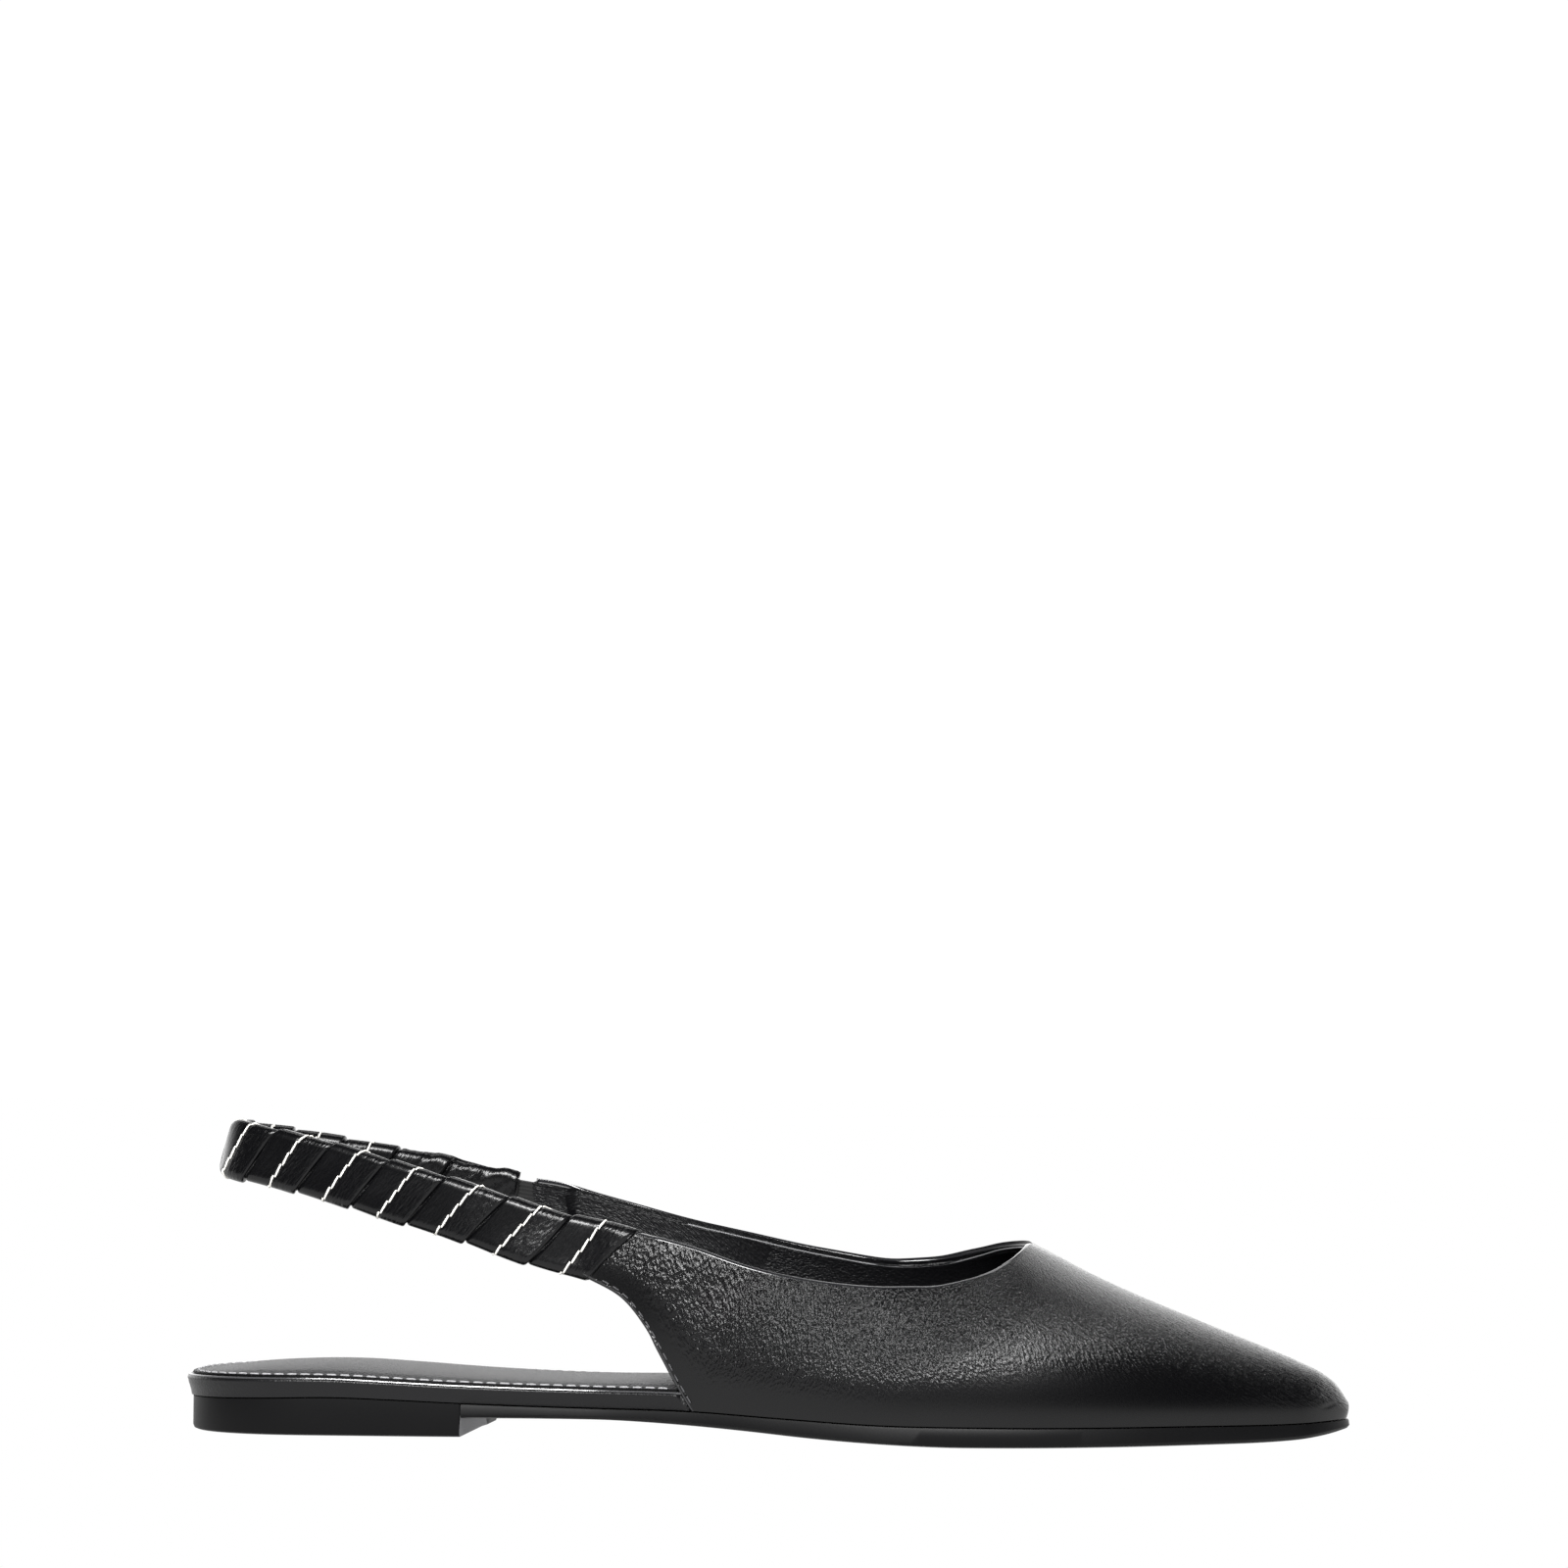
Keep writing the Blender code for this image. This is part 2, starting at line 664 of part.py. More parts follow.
def tab_line(side, ahead, depth):
    """Point inside a quarter's tab: a distance ahead of the tab's end, sunk by depth below the outer face."""
    low, high = wall_rows(side)[0]
    middle = [(a + b) / 2 for a, b in zip(low, high)]
    height = last_point(middle[0], side, middle[1])[2] - ahead * math.tan(SLING_SLOPE[side])
    along = middle[0] + ahead / SOLE_LENGTH
    share = share_at_height(along, side, height)
    return last_point(along, side, share) - last_normal(along, side, share) * depth


def tab_lean(side):
    """Direction up the outer face of a quarter's tab."""
    low, high = wall_rows(side)[0]
    along = (low[0] + high[0]) / 2
    rise = last_point(along, side, high[1]) - last_point(along, side, low[1])
    rise = rise / np.linalg.norm(rise)
    return np.array((math.tan(SLING_SLOPE[side]), rise[1], rise[2]))


def sling_points():
    """Centreline of the elastic: inside the lateral quarter, round the heel, inside the medial quarter."""
    depth = UPPER_WALL + SEAT_GAP + 0.5 * CORE_THICKNESS
    points = [tab_line("lateral", ahead * CORE_OVERLAP, depth) for ahead in (1.0, 0.5, 0.0)]
    for along, side, height in SLING_ROUTE:
        x = to_frame(along * SOLE_LENGTH)
        points.append(np.array((x, side * SLING_LOOP_WIDTH, height * SLING_HEIGHT)))
    points += [tab_line("medial", ahead * CORE_OVERLAP, depth) for ahead in (0.0, 0.5, 1.0)]
    return points


def smooth_curve(points, samples):
    """Natural cubic spline through a list of points, by chord length, read at even shares."""
    table = np.array(chord_table(points))
    at, values = table[:, 0], table[:, 1:]
    count = len(at)
    steps = np.diff(at)
    system = np.zeros((count, count))
    target = np.zeros((count, 3))
    system[0, 0] = system[-1, -1] = 1.0
    for i in range(1, count - 1):
        system[i, i - 1 : i + 2] = steps[i - 1], 2 * (steps[i - 1] + steps[i]), steps[i]
        target[i] = 6 * ((values[i + 1] - values[i]) / steps[i] - (values[i] - values[i - 1]) / steps[i - 1])
    bends = np.linalg.solve(system, target)
    curve = []
    for share in np.linspace(0.0, 1.0, samples + 1):
        i = min(int(np.searchsorted(at, share, side="right")) - 1, count - 2)
        ahead, back, step = at[i + 1] - share, share - at[i], steps[i]
        curve.append(
            (bends[i] * ahead**3 + bends[i + 1] * back**3) / (6 * step)
            + (values[i] / step - bends[i] * step / 6) * ahead
            + (values[i + 1] / step - bends[i + 1] * step / 6) * back
        )
    return curve


class Sling:
    """Curve of the sling with the directions across its width and through its thickness."""

    def __init__(self):
        points = sling_points()
        dense = smooth_curve(points, SLING_SAMPLES)
        self.dense = dense
        self.lengths = np.concatenate([[0.0], np.cumsum([np.linalg.norm(b - a) for a, b in zip(dense, dense[1:])])])
        self.length = float(self.lengths[-1])
        self.starts = self.nearest(points[2])
        self.ends = self.nearest(points[-3])
        self.leans = {side: tab_lean(side) for side in SIDES}
        self.back_lean = np.array((math.sin(SLING_LEAN), 0.0, math.cos(SLING_LEAN)))

    def nearest(self, target):
        """Distance along the curve of its nearest point to a target."""
        gaps = [float(np.linalg.norm(point - target)) for point in self.dense]
        return float(self.lengths[int(np.argmin(gaps))])

    def at(self, distance):
        """Point on the curve at a distance from its lateral end."""
        return np.array([np.interp(distance, self.lengths, [p[c] for p in self.dense]) for c in range(3)])

    def lean(self, distance):
        """Direction up across the band: as the quarters lean at both ends, as the heel leans at the back."""
        share = (distance - self.starts) / (self.ends - self.starts)
        side = "lateral" if share < 0.5 else "medial"
        near = min(1.0, max(0.0, min(share, 1 - share) / SLING_TURN_SHARE))
        near = near * near * (3 - 2 * near)
        return self.leans[side] * (1 - near) + self.back_lean * near

    def frame(self, distance):
        """Point, width direction (upwards) and thickness direction (away from the ankle)."""
        point = self.at(distance)
        small = SLING_TANGENT_STEP
        ahead = self.at(min(distance + small, self.length))
        back = self.at(max(distance - small, 0.0))
        tangent = (ahead - back) / np.linalg.norm(ahead - back)
        lean = self.lean(distance)
        width = lean - tangent * float(lean @ tangent)
        width /= np.linalg.norm(width)
        outward = np.cross(width, tangent)
        return point, width, outward

    def ring_point(self, distance, turn, half_width, half_thickness):
        """Point of a band's rounded section: turn 0 is the middle of its top edge, then down the outer face."""
        point, width, outward = self.frame(distance)
        across, through = stadium(turn, half_width, half_thickness)
        return point + width * across + outward * through


def stadium(turn, half_width, half_thickness):
    """Section with two flat faces and round ends, by share of its perimeter, from the middle of its top."""
    flat = 2 * (half_width - half_thickness)
    arc = math.pi * half_thickness
    walk = (turn % 1.0) * 2 * (flat + arc)
    sign = 1.0
    if walk > flat + arc:
        walk = 2 * (flat + arc) - walk
        sign = -1.0
    if walk < arc / 2:
        angle = walk / half_thickness
        return flat / 2 + half_thickness * math.cos(angle), sign * half_thickness * math.sin(angle)
    if walk < arc / 2 + flat:
        return flat / 2 - (walk - arc / 2), sign * half_thickness
    angle = (walk - arc / 2 - flat) / half_thickness + math.pi / 2
    return -flat / 2 + half_thickness * math.cos(angle), sign * half_thickness * math.sin(angle)


def build_core(sling, parent):
    """Flat elastic band along the whole curve."""
    mesh_data = bmesh.new()
    rings = []
    for i in range(CORE_ROWS + 1):
        distance = sling.length * i / CORE_ROWS
        rings.append([
            mesh_data.verts.new(sling.ring_point(distance, k / CORE_SIDES, 0.5 * CORE_WIDTH, 0.5 * CORE_THICKNESS))
            for k in range(CORE_SIDES)
        ])
    for low, high in zip(rings, rings[1:]):
        for k in range(CORE_SIDES):
            nxt = (k + 1) % CORE_SIDES
            mesh_data.faces.new((low[k], low[nxt], high[nxt], high[k]))
    mesh_data.faces.new(rings[0])
    mesh_data.faces.new(rings[-1])
    return add_object("sling_elastic", mesh_data, (0.01, 0.01, 0.01), 0.8, parent)


def build_wrap(sling, parent):
    """Tape wound as a helix: each turn rises to its rear edge, which lies over the next turn."""
    mesh_data = bmesh.new()
    bore_width = 0.5 * CORE_WIDTH + BORE_GAP
    bore_thickness = 0.5 * CORE_THICKNESS + BORE_GAP
    start = sling.starts + WRAP_START
    finish = sling.ends + WRAP_END
    turns = max(2, round((finish - start) / TAPE_PITCH))
    pitch = (finish - start) / turns
    rows = len(TAPE_TURN)

    def place(turn, j):
        """Distance along the sling of a place on the helix; the first turns slant more on their outer face."""
        slant = -math.sin(4 * math.pi * j / TAPE_SIDES) if 2 * j < TAPE_SIDES else 0.0
        fade = max(0.0, 1 - turn / END_SLANT_TURNS)
        return start + pitch * (turn + j / TAPE_SIDES) + END_SLANT * slant * fade

    def tape_row(row):
        turn, step = divmod(row, rows)
        share, rise = TAPE_TURN[step]
        grow = TAPE_THICKNESS + TAPE_STEP * rise
        points = []
        for j in range(TAPE_SIDES):
            points.append(
                sling.ring_point(place(turn + share, j), j / TAPE_SIDES, bore_width + grow, bore_thickness + grow)
            )
        return points

    def bore_row(row):
        turn, step = divmod(row, rows)
        return [
            sling.ring_point(place(turn + TAPE_TURN[step][0], j), j / TAPE_SIDES, bore_width, bore_thickness)
            for j in range(TAPE_SIDES)
        ]

    outer = [[mesh_data.verts.new(p) for p in tape_row(row)] for row in range(rows * turns + 1)]
    bore = [[mesh_data.verts.new(p) for p in bore_row(row)] for row in range(rows * turns + 1)]

    def vert(grid, row, j):
        """Point of a helical grid, whose column past the last is the first one, one turn further on."""
        return grid[row][j] if j < TAPE_SIDES else grid[row + rows][0]

    last = rows * turns
    for grid in (outer, bore):
        for row in range(last):
            columns = TAPE_SIDES if row < last - rows else TAPE_SIDES - 1
            for j in range(columns):
                corners = ((row, j), (row, j + 1), (row + 1, j + 1), (row + 1, j))
                mesh_data.faces.new([vert(grid, *corner) for corner in corners])
    for j in range(TAPE_SIDES):
        ends = (vert(outer, 0, j), vert(outer, 0, j + 1), vert(bore, 0, j + 1), vert(bore, 0, j))
        mesh_data.faces.new(ends)
    for j in range(TAPE_SIDES - 1):
        mesh_data.faces.new((outer[last][j], outer[last][j + 1], bore[last][j + 1], bore[last][j]))
    for row in range(rows):
        mesh_data.faces.new((outer[row][0], outer[row + 1][0], bore[row + 1][0], bore[row][0]))
        high = last - rows + row
        mesh_data.faces.new((outer[high][-1], outer[high + 1][-1], bore[high + 1][-1], bore[high][-1]))
    step = last - rows
    mesh_data.faces.new((outer[step][-1], outer[last][0], bore[last][0], bore[step][-1]))
    return add_object("sling_wrap", mesh_data, (0.013, 0.013, 0.014), 0.42, parent)


def main():
    """Builds every piece from the floor up."""
    clear_scene()
    shoe = bpy.data.objects.new("shoe", None)
    bpy.context.scene.collection.objects.link(shoe)
    build_outsole(shoe)
    build_footbed(shoe)
    build_sock(shoe)
    build_upper(shoe)
    sling = Sling()
    build_core(sling, shoe)
    build_wrap(sling, shoe)


main()
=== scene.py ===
"""Looks of a pointed slingback flat, right shoe, standing empty on its sole.

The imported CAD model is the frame: metres, +X to the toe, +Y to the medial side, +Z up, floor at zero.
Every soft or moulded node is replaced by a finer piece that follows the same named sizes.
"""

import logging
import math
from dataclasses import dataclass
from enum import Enum
from typing import Callable, Sequence

import bpy
import numpy as np
from mathutils import Matrix, Vector

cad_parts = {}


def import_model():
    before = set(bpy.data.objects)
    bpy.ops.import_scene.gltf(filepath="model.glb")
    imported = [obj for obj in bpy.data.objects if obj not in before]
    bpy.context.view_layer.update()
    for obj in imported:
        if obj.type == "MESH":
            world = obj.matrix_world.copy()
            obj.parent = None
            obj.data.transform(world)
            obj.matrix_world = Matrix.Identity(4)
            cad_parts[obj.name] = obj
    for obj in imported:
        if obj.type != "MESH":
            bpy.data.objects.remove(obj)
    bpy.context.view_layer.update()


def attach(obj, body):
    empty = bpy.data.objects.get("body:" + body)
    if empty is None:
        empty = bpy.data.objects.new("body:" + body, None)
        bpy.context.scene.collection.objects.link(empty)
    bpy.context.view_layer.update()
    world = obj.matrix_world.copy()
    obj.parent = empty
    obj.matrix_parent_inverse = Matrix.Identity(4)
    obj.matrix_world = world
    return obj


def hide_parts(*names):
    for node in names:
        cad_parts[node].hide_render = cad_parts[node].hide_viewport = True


LOG = logging.getLogger("flat")
MM = 0.001
# Points closer than this are one; faces narrower than this are dropped
WELD, SLIVER = 0.004 * MM, 0.002 * MM
# Sides of a thin round bead
BEAD_SIDES = 8
# Points measured at a time, to spare memory
BATCH = 2000
# Shares of a side from which its points are the other side's too
SHARED_FROM = 0.9999

Rows = Sequence[Sequence[float]]
Points = np.ndarray
Piece = bpy.types.Object
Material = bpy.types.Material
Tree = bpy.types.NodeTree
Node = bpy.types.Node

HEEL_WIDTH = 55.0 * MM
BALL_WIDTH = 80.0 * MM

# Sole outline: share of the length, then lateral and medial reach as shares of the width named last
OUTLINE: Rows = (
    # along, lateral, medial, of
    (0.00, 0.505, 0.495, HEEL_WIDTH),
    (0.125, 0.505, 0.495, HEEL_WIDTH),
    (0.20, 0.505, 0.480, HEEL_WIDTH),
    (0.28, 0.495, 0.430, HEEL_WIDTH),
    (0.36, 0.500, 0.375, HEEL_WIDTH),
    (0.44, 0.385, 0.260, BALL_WIDTH),
    (0.52, 0.450, 0.325, BALL_WIDTH),
    (0.60, 0.500, 0.410, BALL_WIDTH),
    (0.67, 0.512, 0.462, BALL_WIDTH),
    (0.74, 0.490, 0.450, BALL_WIDTH),
    (0.81, 0.420, 0.375, BALL_WIDTH),
    (0.88, 0.310, 0.275, BALL_WIDTH),
    (0.94, 0.200, 0.185, BALL_WIDTH),
    (1.00, 0.085, 0.100, BALL_WIDTH),
)
# Underside: share of the waist's clearance and of the toe's spring
SOLE_PROFILE: Rows = (
    # along, waist, spring
    (0.25, 0.98, 0.00),
    (0.32, 1.00, 0.00),
    (0.37, 0.99, 0.00),
    (0.41, 0.92, 0.00),
    (0.45, 0.80, 0.00),
    (0.50, 0.60, 0.00),
    (0.55, 0.35, 0.00),
    (0.60, 0.16, 0.00),
    (0.65, 0.03, 0.00),
    (0.68, 0.00, 0.00),
    (0.89, 0.00, 0.00),
    (0.95, 0.00, 0.14),
    (0.978, 0.00, 0.50),
    (1.00, 0.00, 1.00),
)
# Upper face of the sole: share of the heel block's height and of the sole's edge height
SOLE_TOP: Rows = (
    # along, block, edge
    (0.00, 0.925, 0.00),
    (0.085, 1.01, 0.00),
    (0.14, 1.05, 0.00),
    (0.195, 1.00, 0.00),
    (0.255, 0.92, 0.00),
    (0.365, 0.835, 0.00),
    (0.45, 0.81, 0.00),
    (0.53, 0.00, 1.37),
    (0.615, 0.00, 1.12),
    (0.70, 0.00, 1.07),
    (0.855, 0.00, 1.01),
    (0.94, 0.00, 0.945),
    (1.00, 0.00, 1.05),
)
# The last: height of the instep ridge, its side offset, hollow of the flanks, swell of each wall
LAST: Rows = (
    # along, ridge, side, hollow, lateral swell, medial swell
    (0.25, 1.95, 0.000, 0.00, 0.075, 0.085),
    (0.34, 1.84, -0.005, 0.00, 0.075, 0.095),
    (0.44, 1.67, -0.010, 0.02, 0.055, 0.085),
    (0.53, 1.48, -0.015, 0.06, 0.035, 0.055),
    (0.61, 1.31, -0.015, 0.10, 0.025, 0.035),
    (0.68, 1.145, -0.012, 0.05, 0.022, 0.025),
    (0.731, 1.000, -0.010, 0.00, 0.020, 0.020),
    (0.776, 0.853, -0.005, -0.02, 0.020, 0.020),
    (0.823, 0.722, 0.000, -0.04, 0.018, 0.018),
    (0.859, 0.633, 0.003, -0.04, 0.018, 0.018),
    (0.897, 0.539, 0.007, -0.08, 0.015, 0.015),
    (0.934, 0.450, 0.009, -0.11, 0.013, 0.013),
    (0.961, 0.381, 0.011, -0.13, 0.011, 0.011),
    (0.979, 0.328, 0.012, -0.14, 0.008, 0.008),
    (0.992, 0.264, 0.012, -0.14, 0.004, 0.004),
    (1.00, 0.190, 0.012, -0.14, 0.000, 0.000),
)
# Toplines: share of the topline's height, and how far the edge is drawn up to the throat
LATERAL_TOPLINE: Rows = (
    # along, height, pull
    (0.40, 1.295, 0.00),
    (0.447, 1.208, 0.00),
    (0.497, 1.091, 0.00),
    (0.53, 1.036, 0.00),
    (0.572, 0.991, 0.00),
    (0.612, 0.974, 0.00),
    (0.645, 0.978, 0.00),
    (0.675, 0.978, 0.12),
    (0.693, 0.978, 0.27),
    (0.712, 0.978, 0.53),
    (0.724, 0.978, 0.77),
    (0.729, 0.978, 0.91),
    (0.731, 0.978, 1.00),
)
MEDIAL_TOPLINE: Rows = (
    # along, height, pull
    (0.28, 1.605, 0.00),
    (0.315, 1.566, 0.00),
    (0.344, 1.505, 0.00),
    (0.414, 1.367, 0.00),
    (0.475, 1.263, 0.00),
    (0.544, 1.155, 0.00),
    (0.610, 1.092, 0.00),
    (0.648, 1.092, 0.17),
    (0.683, 1.092, 0.60),
    (0.701, 1.092, 0.83),
    (0.718, 1.092, 0.95),
    (0.731, 1.092, 1.00),
)
# Back edge of each quarter, from the tab's end down to the feather line
LATERAL_BACK_EDGE: Rows = (
    # along, height
    (0.358, 1.005),
    (0.391, 0.866),
    (0.409, 0.706),
    (0.424, 0.515),
    (0.435, 0.366),
    (0.4455, 0.235),
    (0.450, 0.180),
)
MEDIAL_BACK_EDGE: Rows = (
    # along, height
    (0.293, 1.270),
    (0.335, 1.170),
    (0.372, 1.010),
    (0.398, 0.800),
    (0.420, 0.560),
    (0.4355, 0.360),
    (0.4455, 0.235),
    (0.450, 0.180),
)
FOOTBED_PROFILE: Rows = (
    # along, thickness
    (0.00, 1.16),
    (0.08, 1.08),
    (0.14, 1.00),
    (0.25, 0.93),
    (0.44, 0.93),
    (0.60, 0.65),
    (1.00, 0.55),
)
SOCK_PROFILE: Rows = (
    # along, crown
    (0.010, 0.00),
    (0.030, 0.20),
    (0.060, 0.68),
    (0.100, 1.00),
    (0.130, 1.08),
    (0.180, 1.00),
    (0.250, 0.80),
    (0.330, 0.62),
    (0.440, 0.80),
    (0.620, 0.80),
    (0.900, 0.50),
    (0.975, 0.00),
)
# Lines of the sole's faces, in millimetres from the edge where the sole is wide enough
FACE_LINES_MM = (0.0, 0.35, 0.8, 1.2, 1.45, 1.7, 1.95, 2.3, 3.0, 4.5, 6.5, 9.0, 12.5, 17.0)
# Centreline of the sling between the tabs: shares of the length, the loop's width and the sling's height
SLING_ROUTE: Rows = (
    # along, side, height
    (0.330, -0.482, 0.688),
    (0.270, -0.450, 0.764),
    (0.210, -0.400, 0.833),
    (0.160, -0.338, 0.890),
    (0.110, -0.265, 0.941),
    (0.066, -0.190, 0.977),
    (0.045, -0.125, 0.992),
    (0.035, 0.000, 1.000),
    (0.045, 0.125, 0.990),
    (0.066, 0.190, 0.974),
    (0.110, 0.265, 0.939),
    (0.160, 0.330, 0.900),
    (0.210, 0.380, 0.860),
    (0.250, 0.405, 0.830),
)
# Places of the tape's edges along the sling in millimetres, one for each turn from the lateral quarter
TAPE_TURNS_MM = (6.2, 21.5, 37.1, 52.2, 66.7, 81.1, 95.7, 109.2, 120.6, 131.4, 143.6, 156.4, 169.7, 185.6)
# Rounding of the tape's edges over one turn, in millimetres
TAPE_EDGE: Rows = (
    # share, drop
    (0.000, 1.00),
    (0.012, 0.90),
    (0.018, 0.42),
    (0.027, 0.20),
    (0.042, 0.07),
    (0.065, 0.00),
    (0.080, 0.03),
    (0.095, 0.00),
    (0.130, 0.00),
    (0.460, 0.00),
    (0.485, 0.10),
    (0.500, 0.16),
    (0.515, 0.10),
    (0.540, 0.00),
    (0.870, 0.00),
    (0.905, 0.00),
    (0.920, 0.03),
    (0.935, 0.00),
    (0.958, 0.07),
    (0.973, 0.20),
    (0.982, 0.42),
    (0.988, 0.90),
)
# Further lines across the flat of the tape, by share
TAPE_MIDDLE = (0.19, 0.25, 0.31, 0.37, 0.42, 0.58, 0.63, 0.69, 0.75, 0.81)
# Soft troughs of the lateral and medial walls: middle, length, turn, width and depth of each
CREASES: Rows = (
    # side, along, share, length, turn in degrees, width, depth
    (-1, 0.415, 0.62, 16 * MM, 62, 2.6 * MM, 0.22 * MM),
    (-1, 0.445, 0.66, 14 * MM, 70, 2.2 * MM, 0.18 * MM),
    (-1, 0.490, 0.30, 26 * MM, 20, 5.0 * MM, 0.35 * MM),
    (-1, 0.600, 0.52, 22 * MM, -50, 4.0 * MM, 0.30 * MM),
    (-1, 0.655, 0.44, 20 * MM, -48, 3.6 * MM, 0.28 * MM),
    (-1, 0.705, 0.60, 12 * MM, -35, 2.0 * MM, 0.14 * MM),
    (-1, 0.985, 0.22, 4 * MM, 25, 0.5 * MM, 0.12 * MM),
    (1, 0.340, 0.60, 16 * MM, 62, 2.6 * MM, 0.22 * MM),
    (1, 0.420, 0.40, 24 * MM, 30, 5.0 * MM, 0.35 * MM),
    (1, 0.590, 0.50, 22 * MM, -50, 4.0 * MM, 0.30 * MM),
    (1, 0.660, 0.42, 20 * MM, -45, 3.6 * MM, 0.28 * MM),
)


class Side(Enum):
    """The two sides of the foot, by the sign of Y."""

    LATERAL = -1.0
    MEDIAL = 1.0

    @property
    def other(self) -> "Side":
        """The opposite side."""
        return Side.MEDIAL if self is Side.LATERAL else Side.LATERAL


def linear(hex_colour: str) -> tuple[float, float, float, float]:
    """Turns an sRGB hex colour to linear light.

    Args:
        hex_colour: Six hex digits, such as "2a2a2c".

    Returns:
        Red, green, blue and an alpha of one.
    """
    channels = [int(hex_colour[i : i + 2], 16) / 255 for i in (0, 2, 4)]
    curve = [c / 12.92 if c <= 0.04045 else ((c + 0.055) / 1.055) ** 2.4 for c in channels]
    return (*curve, 1.0)


def add_node(tree: Tree, kind: str, inputs: dict | None = None, **settings: object) -> Node:
    """Adds a node with its settings, values and links.

    Args:
        tree: Node tree that gets the node.
        kind: Blender's type name of the node.
        inputs: Socket name or number to a value, or to the output socket that feeds it.
        settings: Properties of the node itself.

    Returns:
        The new node.
    """
    node = tree.nodes.new(kind)
    for name, value in settings.items():
        setattr(node, name, value)
    for socket, value in (inputs or {}).items():
        if isinstance(value, bpy.types.NodeSocket):
            tree.links.new(value, node.inputs[socket])
        else:
            node.inputs[socket].default_value = value
    return node


def smooth_step(low: float, high: float, at: Points) -> Points:
    """Zero below low, one above high, smooth between them."""
    share = np.clip((at - low) / (high - low), 0.0, 1.0)
    return share * share * (3 - 2 * share)


def unit(vectors: Points) -> Points:
    """Vectors of length one along the last axis."""
    return vectors / np.maximum(np.linalg.norm(vectors, axis=-1, keepdims=True), 1e-12)


def walk(points: Points) -> Points:
    """Distance walked along a line, at each of its points."""
    return np.concatenate([[0.0], np.cumsum(np.linalg.norm(np.diff(points, axis=0), axis=1))])


class Profile:
    """Smooth curve through one column of a table; it stays flat where the table is flat."""

    def __init__(self, rows: Rows, column: int = 1, factor: float = 1.0) -> None:
        """Works out the slope at each row.

        Args:
            rows: Table whose first column is the place.
            column: Column that holds the value.
            factor: Size that the shares are of.
        """
        self.at = np.array([row[0] for row in rows], float)
        self.values = factor * np.array([row[column] for row in rows], float)
        steps = np.diff(self.at)
        rises = np.diff(self.values) / steps
        slopes = np.concatenate([rises[:1], np.zeros(len(rises) - 1), rises[-1:]])
        blend = (steps[1:] * rises[:-1] + steps[:-1] * rises[1:]) / (steps[:-1] + steps[1:])
        limit = 3 * np.minimum(np.abs(rises[:-1]), np.abs(rises[1:]))
        steady = rises[:-1] * rises[1:] > 0
        slopes[1:-1] = np.where(steady, np.copysign(np.minimum(np.abs(blend), limit), blend), 0.0)
        self.steps, self.slopes = steps, slopes

    def __call__(self, at: Points | float) -> Points:
        """Value of the curve at each place.

        Args:
            at: Places to read.

        Returns:
            The curve's values.
        """
        where = np.clip(at, self.at[0], self.at[-1])
        i = np.clip(np.searchsorted(self.at, where, side="right") - 1, 0, len(self.steps) - 1)
        t = (where - self.at[i]) / self.steps[i]
        return (
            (1 + 2 * t) * (1 - t) ** 2 * self.values[i]
            + t * (1 - t) ** 2 * self.steps[i] * self.slopes[i]
            + t * t * (3 - 2 * t) * self.values[i + 1]
            + t * t * (t - 1) * self.steps[i] * self.slopes[i + 1]
        )


